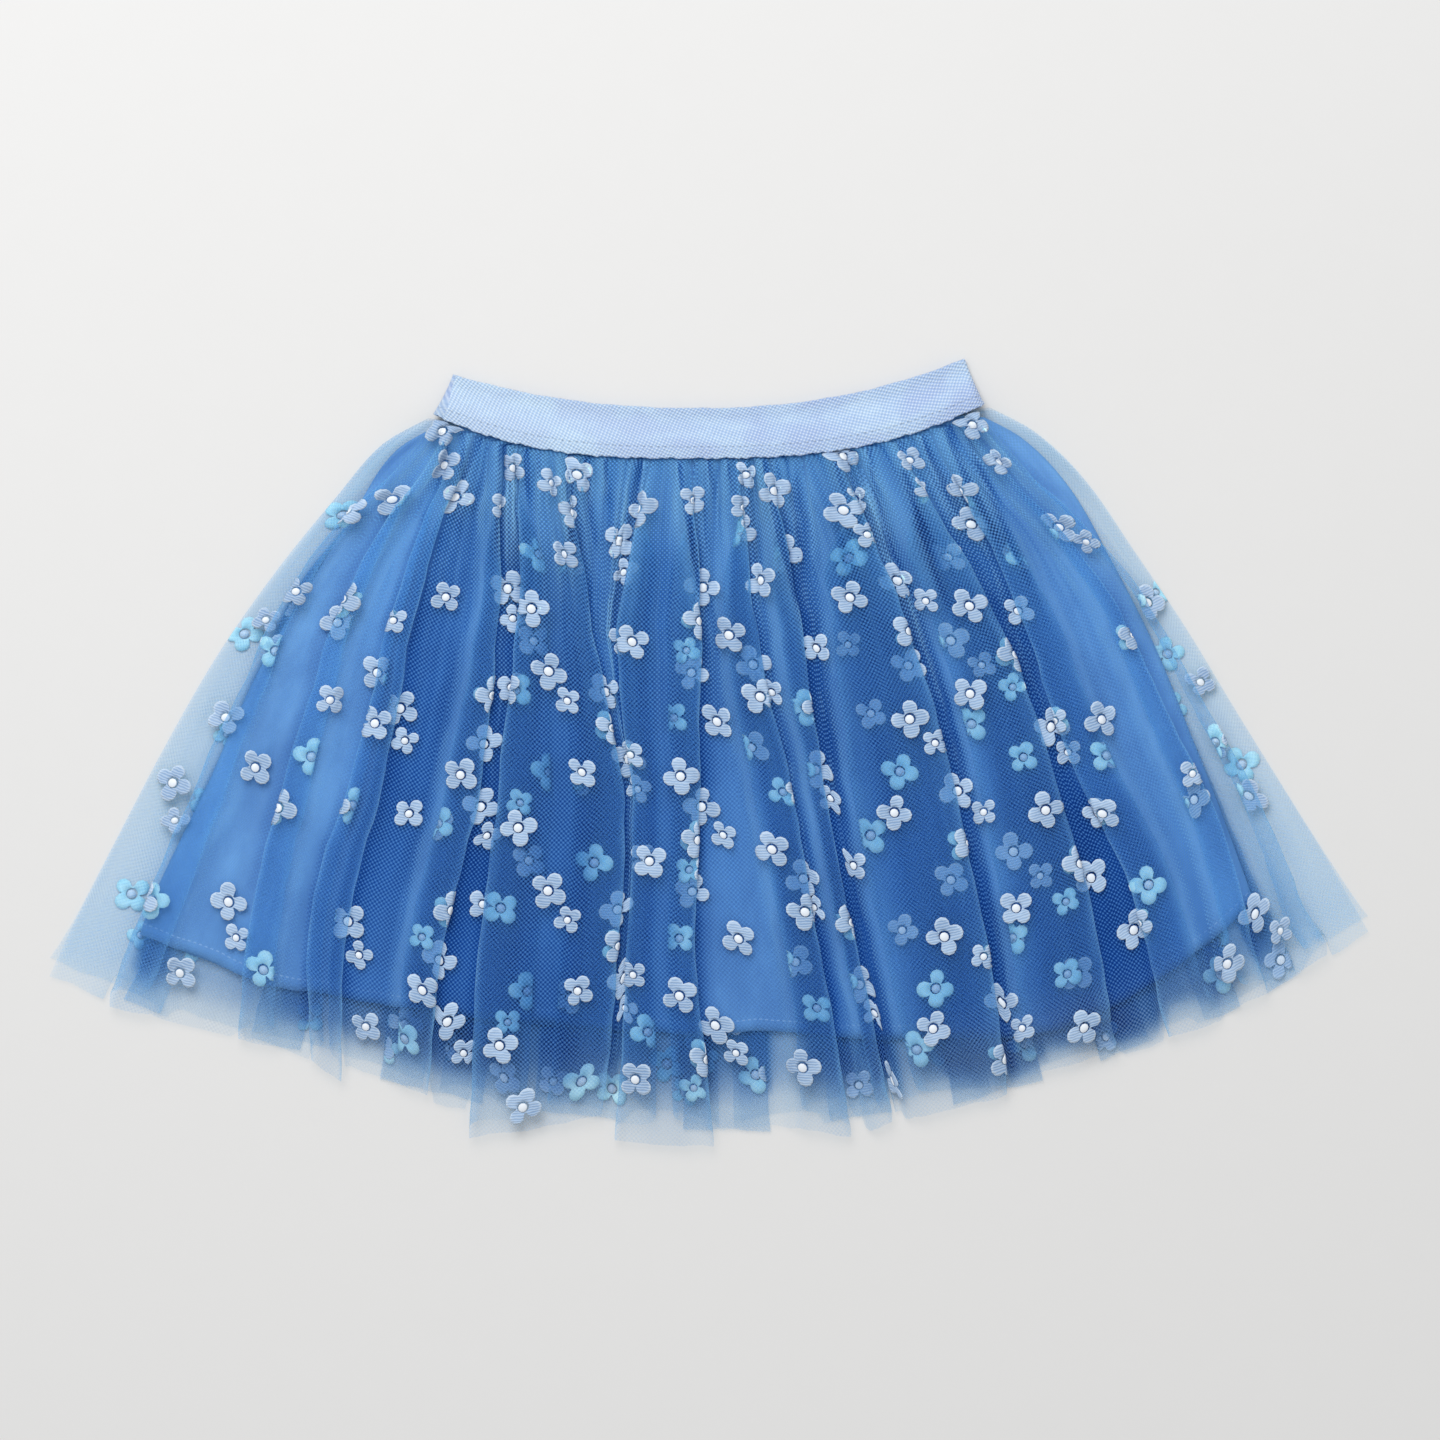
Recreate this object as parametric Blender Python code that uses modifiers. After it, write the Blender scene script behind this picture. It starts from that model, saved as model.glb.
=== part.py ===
"""A child's gathered tulle skirt on an elastic waistband, laid flat with its back panels underneath.

Lengths in the tables are millimetres. +X runs across the skirt, +Y points at the waistband and +Z is
up from the surface that the skirt lies on. Every panel is a wall that is set out in rows: "down" is 0
at the waist seam and 1 at the tulle's cut hem, and a row crosses the skirt from its left side fold to
its right one.
"""

import math
from collections import namedtuple

import bmesh
import bpy

MM = 0.001
SHARP_ANGLE = math.radians(24)
WELD_DISTANCE = 0.00001

# Walls
NET_WALL = 1.0
LINING_WALL = 1.0
ELASTIC_WALL = 1.5
CLEARANCE = 0.3

# Waistband: an elastic ring pressed flat. The top edge and the seam edge both dip in the middle.
BAND_TOP_HALF = 122.0
BAND_SEAM_HALF = 131.5
BAND_TOP_CENTRE = (-5.0, 164.4)
BAND_TOP_RISE = (16.0, 23.5)
BAND_TOP_POWER = 2.2
SEAM_CENTRE = (-9.0, 140.0)
SEAM_RISE = (21.0, 26.0)
SEAM_POWER = 2.8

# Its rows from seam edge to top edge: it is high over the gathered cloth tucked in it, then low
BAND_SHARES = (0.0, 0.12, 0.24, 0.34, 0.46, 0.72, 1.0)
BAND_STEP_START = 0.24
BAND_STEP_END = 0.46
BAND_COLUMNS = 22
BAND_TURN_POINTS = 5
BAND_TOP_HEIGHT = 3.4
SEAM_HEIGHT = 8.9
TUCK = 3.6
END_ROOM = 5.8

# Side folds of the net, as half widths down the skirt
SIDE_DOWN = (0.0, 0.05, 0.14, 0.27, 0.42, 0.58, 0.74, 0.88, 1.0)
LEFT_SIDE = (-131.5, -156.0, -177.5, -206.0, -234.5, -259.5, -282.0, -301.0, -316.3)
RIGHT_SIDE = (131.5, 156.0, 180.0, 203.0, 228.5, 253.0, 278.0, 299.5, 316.3)

# Cut hem of the net, from the left side to the right
HEM_ACROSS = (0.0, 0.1, 0.2, 0.3, 0.4, 0.5, 0.6, 0.7, 0.8, 0.9, 1.0)
HEM_Y = (-108.0, -133.0, -150.0, -166.0, -177.0, -182.0, -180.0, -168.0, -150.0, -127.0, -87.5)

# Lining: how far it stops short of the net at the sides and the hem
LINING_INSET_WAIST = 6.0
LINING_INSET_LEFT = 27.0
LINING_INSET_RIGHT = 37.0
LINING_INSET_POWER = 1.6
LINING_HEM_ACROSS = (0.0, 0.2, 0.35, 0.5, 0.65, 0.8, 0.9, 1.0)
LINING_HEM_DOWN = (0.878, 0.888, 0.862, 0.85, 0.875, 0.918, 0.905, 0.855)
LINING_FOLDS = 7
LINING_FOLD_HEIGHT = 0.7
LINING_EDGE_MARGIN = 1.8
LINING_TO_NET = 0.7

# Folds of the net. A "right" fold lies over to the right with its right edge on top, a "left" fold the
# other way, and a "box" fold shows both edges. Edges are given at the waist, three steps and the hem.
FOLD_DOWN = (0.0, 0.25, 0.5, 0.75, 1.0)
Fold = namedtuple("Fold", "kind left right crests gathers_after hem_drop")
FRONT_FOLDS = (
    Fold("left", (-128.6, -193.0, -229.0, -261.0, -287.5), (-126.0, -186.0, -217.0, -244.0, -267.0), 1, 0, 2),
    Fold("left", (-123.0, -171.0, -196.5, -217.0, -226.0), (-120.8, -163.0, -184.0, -202.0, -208.0), 1, 0, 0),
    Fold("box", (-117.8, -149.5, -167.5, -190.0, -191.5), (-112.6, -138.5, -152.5, -171.5, -176.5), 1, 3, 5),
    Fold("right", (-104.0, -111.0, -125.5, -143.5, -152.0), (-99.0, -100.5, -108.0, -125.5, -135.0), 1, 2, 3),
    Fold("box", (-90.5, -92.0, -100.5, -110.0, -115.5), (-68.5, -56.0, -41.0, -43.0, -51.0), 3, 6, 5),
    Fold("box", (-27.0, -44.0, -37.5, -39.5, -45.5), (-9.0, -3.5, -4.5, -5.5, 2.5), 3, 2, 6),
    Fold("right", (5.5, 7.0, 20.0, 36.5, 43.5), (13.5, 23.0, 40.0, 54.5, 68.5), 1, 1, 3),
    Fold("right", (22.0, 32.5, 47.5, 64.0, 80.0), (28.0, 44.5, 55.5, 72.0, 88.0), 1, 2, 1),
    Fold("right", (45.5, 58.0, 67.0, 83.0, 98.5), (60.5, 93.0, 115.5, 132.0, 144.0), 2, 1, 1),
    Fold("right", (70.5, 104.0, 125.5, 141.0, 153.0), (88.0, 132.5, 161.0, 182.0, 196.0), 2, 3, 2),
    Fold("left", (106.0, 143.5, 168.5, 200.5, 220.0), (110.4, 158.0, 187.5, 221.0, 242.0), 1, 1, 3),
    Fold("right", (118.4, 173.5, 207.0, 235.0, 253.0), (121.4, 180.0, 216.5, 247.5, 267.0), 1, 0, 0),
    Fold("right", (124.2, 186.4, 225.5, 258.5, 283.0), (127.2, 190.4, 231.5, 267.0, 296.0), 1, 0, 2),
)
BOX_TUCK = 0.42
SIDE_TUCK_SHORT = 0.8

# Plies of a fold: the flat net is level 0, the ply tucked under is level 1 and the top is level 2
TOP = 2.0
UNDER = 1.0
PLY_DOWN = (0.0, 0.014, 0.035, 0.07, 1.0)
PLY_GAP = (0.3, 0.9, 1.6, 1.75, 1.9)
PLY_GAP_IN_BAND = 0.2

# A fold stands on edge at the waist, and lies over between these two places down the skirt
LIE_START = 0.03
LIE_LENGTH = 0.15
STEP_LEAN = 0.8
CORNER = 0.4
CORNER_LEVEL = 0.45
UNFOLDED_SPREAD = 0.2
RAMP = 4.2
RAMP_LENGTH = 0.2

# Gathers between the folds and on them, which fade out down the skirt
GATHER_MARGIN = 1.6
GATHER_HEIGHT = 2.4
GATHER_FADE = 0.2
GATHER_STEEPNESS = 0.9
GATHER_LEAST_STEP = 0.4
CREST_RISE = 0.9
SIDE_STEPS = (0.0, 0.3, 0.75)

# Rows down the net: the first lies tucked in the waistband
NET_ROWS = (-0.02, 0.0, 0.014, 0.035, 0.07, 0.115, 0.18, 0.27, 0.39, 0.52, 0.65, 0.77, 0.87, 0.935, 1.0)
HEM_ROW = 0.87
REACH_SAMPLES = 4
HEM_KNEE = 0.02
LINING_ROWS = (-0.02, 0.0, 0.014, 0.035, 0.07, 0.13, 0.25, 0.42, 0.6, 0.8, 0.95, 1.0)
BACK_COLUMNS = 26
BACK_SCALLOP = 3.0
BACK_SCALLOP_TURN = 1.9
LINING_COLUMNS = 29

# Heights of the walls' middles, flat on the surface and at the waist seam
BACK_NET_Z = NET_WALL / 2
BACK_LINING_Z = BACK_NET_Z + NET_WALL / 2 + CLEARANCE + LINING_WALL / 2
FRONT_LINING_Z = BACK_LINING_Z + LINING_WALL + CLEARANCE
FRONT_NET_Z = FRONT_LINING_Z + LINING_FOLD_HEIGHT + LINING_WALL / 2 + LINING_TO_NET + NET_WALL / 2
FRONT_NET_SIDE_Z = BACK_NET_Z + NET_WALL + CLEARANCE
SEAM_LIFT = ELASTIC_WALL + 0.4
LIFT_LENGTH = 0.045
FRONT_NET_SEAM_Z = FRONT_LINING_Z + SEAM_LIFT + NET_WALL + CLEARANCE

COLOURS = {
    "elastic": (0.44, 0.58, 0.86, 1.0),
    "net": (0.08, 0.27, 0.72, 1.0),
    "lining": (0.07, 0.24, 0.62, 1.0),
}


def blend(low, high, share):
    return low + (high - low) * share


def ease(share):
    share = min(1.0, max(0.0, share))
    return share * share * (3 - 2 * share)


def read_curve(places, values, place):
    """A smooth curve through a short table, read at one place."""
    last = len(places) - 1
    if place <= places[0]:
        return values[0]
    if place >= places[last]:
        return values[last]
    i = max(k for k in range(last) if places[k] <= place)

    def slope(k):
        low, high = max(k - 1, 0), min(k + 1, last)
        return (values[high] - values[low]) / (places[high] - places[low])

    step = places[i + 1] - places[i]
    u = (place - places[i]) / step
    return (
        (2 * u**3 - 3 * u**2 + 1) * values[i]
        + (u**3 - 2 * u**2 + u) * step * slope(i)
        + (3 * u**2 - 2 * u**3) * values[i + 1]
        + (u**3 - u**2) * step * slope(i + 1)
    )


def edge_y(x, centre, half, rise, power):
    """A waistband edge that dips in the middle and rises to each end."""
    middle, low = centre
    if x < middle:
        return low + rise[0] * ((middle - x) / (half + middle)) ** power
    return low + rise[1] * ((x - middle) / (half - middle)) ** power


def seam_y(x):
    x = max(-BAND_SEAM_HALF, min(BAND_SEAM_HALF, x))
    return edge_y(x, SEAM_CENTRE, BAND_SEAM_HALF, SEAM_RISE, SEAM_POWER)


def band_top_y(x):
    x = max(-BAND_TOP_HALF, min(BAND_TOP_HALF, x))
    return edge_y(x, BAND_TOP_CENTRE, BAND_TOP_HALF, BAND_TOP_RISE, BAND_TOP_POWER)


def sides(down):
    """Left and right side folds of the net at a row. In the band the net is narrower, to fit its ends."""
    if down <= 0:
        return -BAND_SEAM_HALF + END_ROOM, BAND_SEAM_HALF - END_ROOM
    return read_curve(SIDE_DOWN, LEFT_SIDE, down), read_curve(SIDE_DOWN, RIGHT_SIDE, down)


def place_y(x, down):
    """How far up the skirt a point of a row lies."""
    left, right = sides(down)
    across = (x - left) / (right - left)
    waist = seam_y(blend(-BAND_SEAM_HALF, BAND_SEAM_HALF, across))
    if down < 0:
        return seam_y(x) + TUCK
    if down == 0:
        return seam_y(x)
    return blend(waist, read_curve(HEM_ACROSS, HEM_Y, across), down)


def lift(down):
    """The layers rise at the waist, where they lie on the back of the elastic."""
    return 1 - ease(down / LIFT_LENGTH)


def lining_inset(down, most):
    return LINING_INSET_WAIST + most * max(0.0, down) ** LINING_INSET_POWER


def lining_sides(down):
    left, right = sides(down)
    return left + lining_inset(down, LINING_INSET_LEFT), right - lining_inset(down, LINING_INSET_RIGHT)


def lining_down(across):
    """How far down the skirt the lining's hem lies, for a place across the lining."""
    return read_curve(LINING_HEM_ACROSS, LINING_HEM_DOWN, across)


def lining_across(x, down):
    left, right = lining_sides(down)
    return min(1.0, max(0.0, (x - left) / (right - left)))


def row_down(share, lining_hem):
    """Rows of the net keep to the lining's hem, so that the net can fall from it."""
    knee = lining_hem + HEM_KNEE
    if share <= 0:
        return share
    if share <= HEM_ROW:
        return share + (knee - HEM_ROW) * (share / HEM_ROW) ** 2
    return blend(knee, 1.0, (share - HEM_ROW) / (1 - HEM_ROW))


def front_net_z(x, down, past_hem):
    """Middle of the front net where it lies flat: over the lining, and down on the back net past it."""
    left, right = sides(down)
    low = FRONT_NET_SIDE_Z + SEAM_LIFT * lift(down)
    high = blend(FRONT_NET_Z, FRONT_NET_SEAM_Z, lift(down))
    if down <= 0:
        return high
    from_left = (x - left) / (lining_inset(down, LINING_INSET_LEFT) - LINING_EDGE_MARGIN)
    from_right = (right - x) / (lining_inset(down, LINING_INSET_RIGHT) - LINING_EDGE_MARGIN)
    return blend(low, high, ease(min(from_left, from_right)) * (1 - past_hem))


def ply_gap(down):
    """Distance between the middles of two plies of a fold. It opens from the seam down."""
    return PLY_GAP_IN_BAND if down < 0 else read_curve(PLY_DOWN, PLY_GAP, down)


def fold_edges(fold, down):
    return read_curve(FOLD_DOWN, fold.left, down), read_curve(FOLD_DOWN, fold.right, down)


def fold_top(left, right, crests, rise):
    """Points along the top of a fold, which swells between shallow gathers."""
    count = 2 * crests - 1
    return [
        (blend(left, right, (k + 1) / (count + 1)), TOP + (0.0 if k % 2 else rise)) for k in range(count)
    ]


def over_edge(edge, toward, tuck, down):
    """From the top of a fold, over its edge at x and tucked back under it, down to the flat net.

    toward is +1 for an edge on the right. With no tuck the cloth only stands on edge.
    """
    full = ply_gap(down) / 2
    lean = min(full, max(0.0, tuck) / 4)
    spread = UNFOLDED_SPREAD * (1 - lean / full)
    corner = max(lean, CORNER)
    run = max(0.0, -tuck)
    back = max(0.0, tuck)
    places = (
        (-corner, TOP),
        (0.2 * run, TOP - CORNER_LEVEL),
        (0.4 * run - lean, UNDER + spread),
        (0.6 * run - back + lean, UNDER - spread),
        (0.8 * run - back, CORNER_LEVEL),
        (run - back + corner, 0.0),
    )
    return [(edge + toward * x, level) for x, level in places]


def fold_points(fold, down):
    """Points of one fold as (x, level)."""
    left, right = fold_edges(fold, down)
    width = right - left
    full_tuck = BOX_TUCK * width if fold.kind == "box" else width - SIDE_TUCK_SHORT
    tuck = blend(-STEP_LEAN, full_tuck, ease((down - LIE_START) / LIE_LENGTH))
    ramp = blend(STEP_LEAN, RAMP, ease(down / RAMP_LENGTH))
    top = fold_top(left, right, fold.crests, CREST_RISE * math.exp(-max(0.0, down) / GATHER_FADE))
    left_edge = over_edge(left, -1, tuck, down)[::-1]
    right_edge = over_edge(right, 1, tuck, down)
    if fold.kind == "right":
        left_edge = [(left - ramp, 0.0), (left, TOP)]
    if fold.kind == "left":
        right_edge = [(right, TOP), (right + ramp, 0.0)]
    return [*left_edge, *top, *right_edge]


def gathers(start, end, count, down):
    """Small gathers on the net between two folds, which fade out down the skirt."""
    points = 2 * count + 1
    least = GATHER_LEAST_STEP * points
    if end - start < least:
        middle = (start + end) / 2
        start, end = middle - least / 2, middle + least / 2
    pitch = (end - start) / points
    height = min(GATHER_HEIGHT * math.exp(-max(0.0, down) / GATHER_FADE), GATHER_STEEPNESS * pitch)
    level = min(height / ply_gap(down), TOP)
    return [(blend(start, end, (k + 0.5) / points), level if k % 2 else 0.0) for k in range(points)]


def fold_reach(fold, down):
    """The x range that a fold takes on its row, its ramp included."""
    points = fold_points(fold, down)
    return min(p[0] for p in points), max(p[0] for p in points)


def group_down(left, right, share):
    """A row's place down the skirt for columns that lie between two places across the hem of the lining.

    It is set where the lining reaches furthest down under them.
    """
    ends = [lining_across(x, HEM_ROW) for x in (left, right)]
    reach = max(lining_down(blend(*ends, k / REACH_SAMPLES)) for k in range(REACH_SAMPLES + 1))
    return row_down(share, reach)


def net_row(folds, share):
    """One row of the net, from side to side, as (x, down, level, hem drop)."""
    edges = [fold_edges(fold, HEM_ROW) for fold in folds]
    downs = [group_down(*edge, share) for edge in edges]
    at_side = row_down(share, max(lining_down(0), lining_down(1)))
    left, right = sides(at_side) if share > 0 else (-BAND_SEAM_HALF, BAND_SEAM_HALF)
    start, end = fold_reach(folds[0], downs[0])[0], fold_reach(folds[-1], downs[-1])[1]
    row = [(blend(left, start, step), at_side, 0.0, 0.0) for step in SIDE_STEPS]
    for i, fold in enumerate(folds):
        row += [(x, downs[i], level, fold.hem_drop) for x, level in fold_points(fold, downs[i])]
        if fold.gathers_after and i + 1 < len(folds):
            start = fold_reach(fold, downs[i])[1] + GATHER_MARGIN
            finish = fold_reach(folds[i + 1], downs[i + 1])[0] - GATHER_MARGIN
            small = gathers(start, finish, fold.gathers_after, downs[i])
            for k, (x, level) in enumerate(small):
                row.append((x, blend(downs[i], downs[i + 1], k / (len(small) - 1)), level, 0.0))
    return row + [(blend(right, end, step), at_side, 0.0, 0.0) for step in reversed(SIDE_STEPS)]


def squeeze(x, down):
    """Inside the band the row is a little narrower than at the folds' own places."""
    if down > 0:
        return x
    return x * (BAND_SEAM_HALF - END_ROOM) / BAND_SEAM_HALF


def sheet(name, columns, rows, point, wall, material, collection, closed=False):
    """A cloth wall: Blender's grid, each point set at its place on the cloth's middle, then solidified.

    A closed sheet is a ring, whose last column meets its first.
    """
    work = bmesh.new()
    bmesh.ops.create_grid(work, x_segments=columns - 1, y_segments=rows - 1, size=1)
    order = sorted(work.verts, key=lambda v: (round(v.co.y, 6), round(v.co.x, 6)))
    for index, vertex in enumerate(order):
        vertex.co = [value * MM for value in point(index % columns, rows - 1 - index // columns)]
    if closed:
        bmesh.ops.remove_doubles(work, verts=work.verts, dist=WELD_DISTANCE)
    bmesh.ops.recalc_face_normals(work, faces=work.faces)
    mesh = bpy.data.meshes.new(name)
    work.to_mesh(mesh)
    work.free()
    mesh.shade_smooth()
    mesh.set_sharp_from_angle(angle=SHARP_ANGLE)
    mesh.materials.append(material)
    piece = bpy.data.objects.new(name, mesh)
    collection.objects.link(piece)
    solid = piece.modifiers.new("wall", "SOLIDIFY")
    solid.thickness = wall * MM
    solid.offset = 0
    return piece


def front_net(collection, material):
    rows = [net_row(FRONT_FOLDS, share) for share in NET_ROWS]

    def point(column, row):
        x, down, level, hem_drop = rows[row][column]
        x = squeeze(x, down)
        past_hem = max(0.0, (NET_ROWS[row] - HEM_ROW) / (1 - HEM_ROW))
        z = front_net_z(x, down, past_hem) + level * ply_gap(down)
        return x, place_y(x, down) - hem_drop * max(0.0, down) ** 3, z

    return sheet("tulle_front", len(rows[0]), len(NET_ROWS), point, NET_WALL, material, collection)


def back_net(collection, material):
    def point(column, row):
        down = NET_ROWS[row]
        left, right = sides(down)
        x = blend(left, right, column / (BACK_COLUMNS - 1))
        scallop = BACK_SCALLOP * math.sin(column * BACK_SCALLOP_TURN) * max(0.0, down) ** 3
        return x, place_y(x, down) + scallop, BACK_NET_Z + SEAM_LIFT * lift(down)

    return sheet("tulle_back", BACK_COLUMNS, len(NET_ROWS), point, NET_WALL, material, collection)


def lining(name, height, waves, collection, material):
    """One lining panel. It is shorter and narrower than the net and has soft folds under it."""

    def point(column, row):
        share = LINING_ROWS[row]
        across = column / (LINING_COLUMNS - 1)
        down = share if share < 0 else share * lining_down(across)
        x = blend(*lining_sides(down), across)
        soft = 0.5 - 0.5 * math.cos(2 * math.pi * LINING_FOLDS * across)
        z = height + SEAM_LIFT * lift(down) + waves * soft * (1 - lift(down))
        return x, place_y(x, down), z

    return sheet(name, LINING_COLUMNS, len(LINING_ROWS), point, LINING_WALL, material, collection)


def band_ring(share):
    """The band's path round at a height share (0 at the seam, 1 at the top), as (x, z) from the left end."""
    half = blend(BAND_SEAM_HALF, BAND_TOP_HALF, share)
    low = ELASTIC_WALL / 2
    past_step = ease((share - BAND_STEP_START) / (BAND_STEP_END - BAND_STEP_START))
    high = blend(SEAM_HEIGHT, BAND_TOP_HEIGHT, past_step)
    radius = (high - low) / 2
    straight = [blend(-half + radius, half - radius, k / (BAND_COLUMNS - 1)) for k in range(BAND_COLUMNS)]
    turns = [math.pi * (k + 1) / (BAND_TURN_POINTS + 1) for k in range(BAND_TURN_POINTS)]
    ring = [(x, high) for x in straight]
    ring += [(half - radius + radius * math.sin(a), low + radius + radius * math.cos(a)) for a in turns]
    ring += [(x, low) for x in reversed(straight)]
    ring += [(-half + radius - radius * math.sin(a), low + radius - radius * math.cos(a)) for a in turns]
    return [*ring, ring[0]]


def waistband(collection, material):
    """The elastic, a ring open at the top and at the seam edge."""
    rings = [band_ring(share) for share in BAND_SHARES]

    def point(column, row):
        x, z = rings[row][column]
        return x, blend(seam_y(x), band_top_y(x), BAND_SHARES[row]), z

    return sheet(
        "waistband", len(rings[0]), len(rings), point, ELASTIC_WALL, material, collection, closed=True
    )


def cloth_material(name, roughness):
    material = bpy.data.materials.new(name)
    material.use_nodes = True
    shader = material.node_tree.nodes["Principled BSDF"]
    shader.inputs["Base Color"].default_value = COLOURS[name]
    shader.inputs["Roughness"].default_value = roughness
    shader.inputs["Metallic"].default_value = 0.0
    material.diffuse_color = COLOURS[name]
    return material


def main():
    for obj in list(bpy.data.objects):
        bpy.data.objects.remove(obj)
    skirt = bpy.data.collections.new("tulle_skirt")
    bpy.context.scene.collection.children.link(skirt)
    net = cloth_material("net", 0.6)
    lining_cloth = cloth_material("lining", 0.7)
    elastic = cloth_material("elastic", 0.8)
    back_net(skirt, net)
    lining("lining_back", BACK_LINING_Z, 0.0, skirt, lining_cloth)
    lining("lining_front", FRONT_LINING_Z, LINING_FOLD_HEIGHT, skirt, lining_cloth)
    front_net(skirt, net)
    waistband(skirt, elastic)


main()
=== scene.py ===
import math

import bpy
import numpy as np
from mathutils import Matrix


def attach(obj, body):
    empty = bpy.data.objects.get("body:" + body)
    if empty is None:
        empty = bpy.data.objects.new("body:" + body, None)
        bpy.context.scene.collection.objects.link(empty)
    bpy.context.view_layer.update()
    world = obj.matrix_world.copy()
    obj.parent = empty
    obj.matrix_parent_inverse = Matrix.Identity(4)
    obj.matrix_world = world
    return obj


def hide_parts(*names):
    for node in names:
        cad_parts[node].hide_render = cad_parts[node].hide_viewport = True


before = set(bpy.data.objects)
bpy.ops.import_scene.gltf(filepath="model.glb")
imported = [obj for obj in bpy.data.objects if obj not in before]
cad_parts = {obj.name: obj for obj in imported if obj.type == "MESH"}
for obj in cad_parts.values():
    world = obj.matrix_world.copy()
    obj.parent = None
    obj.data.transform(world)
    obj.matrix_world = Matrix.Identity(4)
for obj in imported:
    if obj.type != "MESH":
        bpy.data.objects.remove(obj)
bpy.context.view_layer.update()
print("frame loaded")

mm = 0.001


# Shader helpers: a number socket works with plain arithmetic, and one method makes any other node
class Num:
    def __init__(self, paint, socket):
        self.paint = paint
        self.socket = socket

    def maths(self, operation, *values):
        return self.paint.node("ShaderNodeMath", {"operation": operation}, dict(enumerate(values))).num()

    def __add__(self, other):
        return self.maths("ADD", self, other)

    def __radd__(self, other):
        return self.maths("ADD", other, self)

    def __sub__(self, other):
        return self.maths("SUBTRACT", self, other)

    def __rsub__(self, other):
        return self.maths("SUBTRACT", other, self)

    def __mul__(self, other):
        return self.maths("MULTIPLY", self, other)

    def __rmul__(self, other):
        return self.maths("MULTIPLY", other, self)

    def __truediv__(self, other):
        return self.maths("DIVIDE", self, other)

    def __pow__(self, other):
        return self.maths("POWER", self, other)

    def sin(self):
        return self.maths("SINE", self)

    def abs(self):
        return self.maths("ABSOLUTE", self)

    def wave(self, length):
        # a sine of the given wavelength
        return (self * (2 * math.pi / length)).sin()

    def clamp(self):
        return self.maths("MINIMUM", self.maths("MAXIMUM", self, 0.0), 1.0)

    def between(self, low, high):
        # 0 below low, 1 above high, smooth on the way
        smooth = {"interpolation_type": "SMOOTHSTEP"}
        return self.paint.node("ShaderNodeMapRange", smooth, {0: self, 1: low, 2: high, 3: 0.0, 4: 1.0}).num()


class Made:
    def __init__(self, paint, node):
        self.paint = paint
        self.node = node

    def num(self, output=0):
        return Num(self.paint, self.node.outputs[output])

    def out(self, output=0):
        return self.node.outputs[output]


class Paint:
    def __init__(self, name):
        self.material = bpy.data.materials.new(name)
        self.material.use_nodes = True
        self.tree = self.material.node_tree
        self.tree.nodes.clear()

    def node(self, kind, settings=None, inputs=None):
        made = self.tree.nodes.new(kind)
        for key, value in (settings or {}).items():
            setattr(made, key, value)
        for key, value in (inputs or {}).items():
            socket = value.socket if isinstance(value, Num) else value
            if isinstance(socket, bpy.types.NodeSocket):
                self.tree.links.new(socket, made.inputs[key])
            else:
                made.inputs[key].default_value = socket
        return Made(self, made)

    def places(self, name="cloth"):
        # where each point lies on the flat cloth, in metres
        return self.node("ShaderNodeUVMap", {"uv_map": name}).out()

    def split(self, where):
        parts = self.node("ShaderNodeSeparateXYZ", None, {0: where})
        return parts.num(0), parts.num(1)

    def layers(self, colour, *coats):
        # each coat covers the colour below it by its share
        for share, coat in coats:
            colour = self.node("ShaderNodeMix", {"data_type": "RGBA"}, {0: share, 6: colour, 7: coat}).out(2)
        return colour

    def mixShader(self, share, low, high):
        return self.node("ShaderNodeMixShader", None, {0: share, 1: low, 2: high}).out()

    def noise(self, where, scale, detail=2.0, rough=0.5):
        inputs = {"Vector": where, "Scale": scale, "Detail": detail, "Roughness": rough}
        return self.node("ShaderNodeTexNoise", None, inputs).num()

    def grain(self, where, across, up, detail=2.0, rough=0.5):
        # noise with its own scale across and up the cloth
        scales = {0: where, 1: (across, up, 1.0)}
        stretched = self.node("ShaderNodeVectorMath", {"operation": "MULTIPLY"}, scales).out()
        return self.noise(stretched, 1.0, detail, rough)

    def bump(self, height, depth, strength):
        inputs = {"Strength": strength, "Distance": depth, "Height": height}
        return self.node("ShaderNodeBump", None, inputs).out()

    def mark(self, name):
        return self.node("ShaderNodeAttribute", {"attribute_name": name}).num("Fac")

    def solidCloth(self, colour, rough, bump, sheen=0.0, shine=0.5):
        # an opaque cloth, with the height, depth and strength of its bump
        return self.finish(self.node("ShaderNodeBsdfPrincipled", None, {
            "Base Color": colour, "Roughness": rough, "Sheen Weight": sheen, "Specular IOR Level": shine,
            "Normal": self.bump(*bump),
        }).out())

    def finish(self, shader):
        self.node("ShaderNodeOutputMaterial", None, {"Surface": shader})
        return self.material


# The skirt's own lay: the same rows and folds as its solid parts, in millimetres
skirt = {
    "bandTopHalf": 122.0, "bandSeamHalf": 131.5,
    "sideDown": (0.0, 0.05, 0.14, 0.27, 0.42, 0.58, 0.74, 0.88, 1.0),
    "leftSide": (-131.5, -156.0, -177.5, -206.0, -234.5, -259.5, -282.0, -301.0, -316.3),
    "rightSide": (131.5, 156.0, 180.0, 203.0, 228.5, 253.0, 278.0, 299.5, 316.3),
    "hemAcross": (0.0, 0.1, 0.2, 0.3, 0.4, 0.5, 0.6, 0.7, 0.8, 0.9, 1.0),
    "hemY": (-108.0, -133.0, -150.0, -166.0, -177.0, -182.0, -180.0, -168.0, -150.0, -127.0, -87.5),
    "endRoom": 5.8, "tuck": 3.6, "seamLift": 1.9, "liftLength": 0.045,
    "cutWidth": 1394.0, "cutLength": 0.325,
}


def blend(low, high, share):
    return low + (high - low) * share


def ease(share):
    share = np.clip(share, 0.0, 1.0)
    return share * share * (3 - 2 * share)


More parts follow.
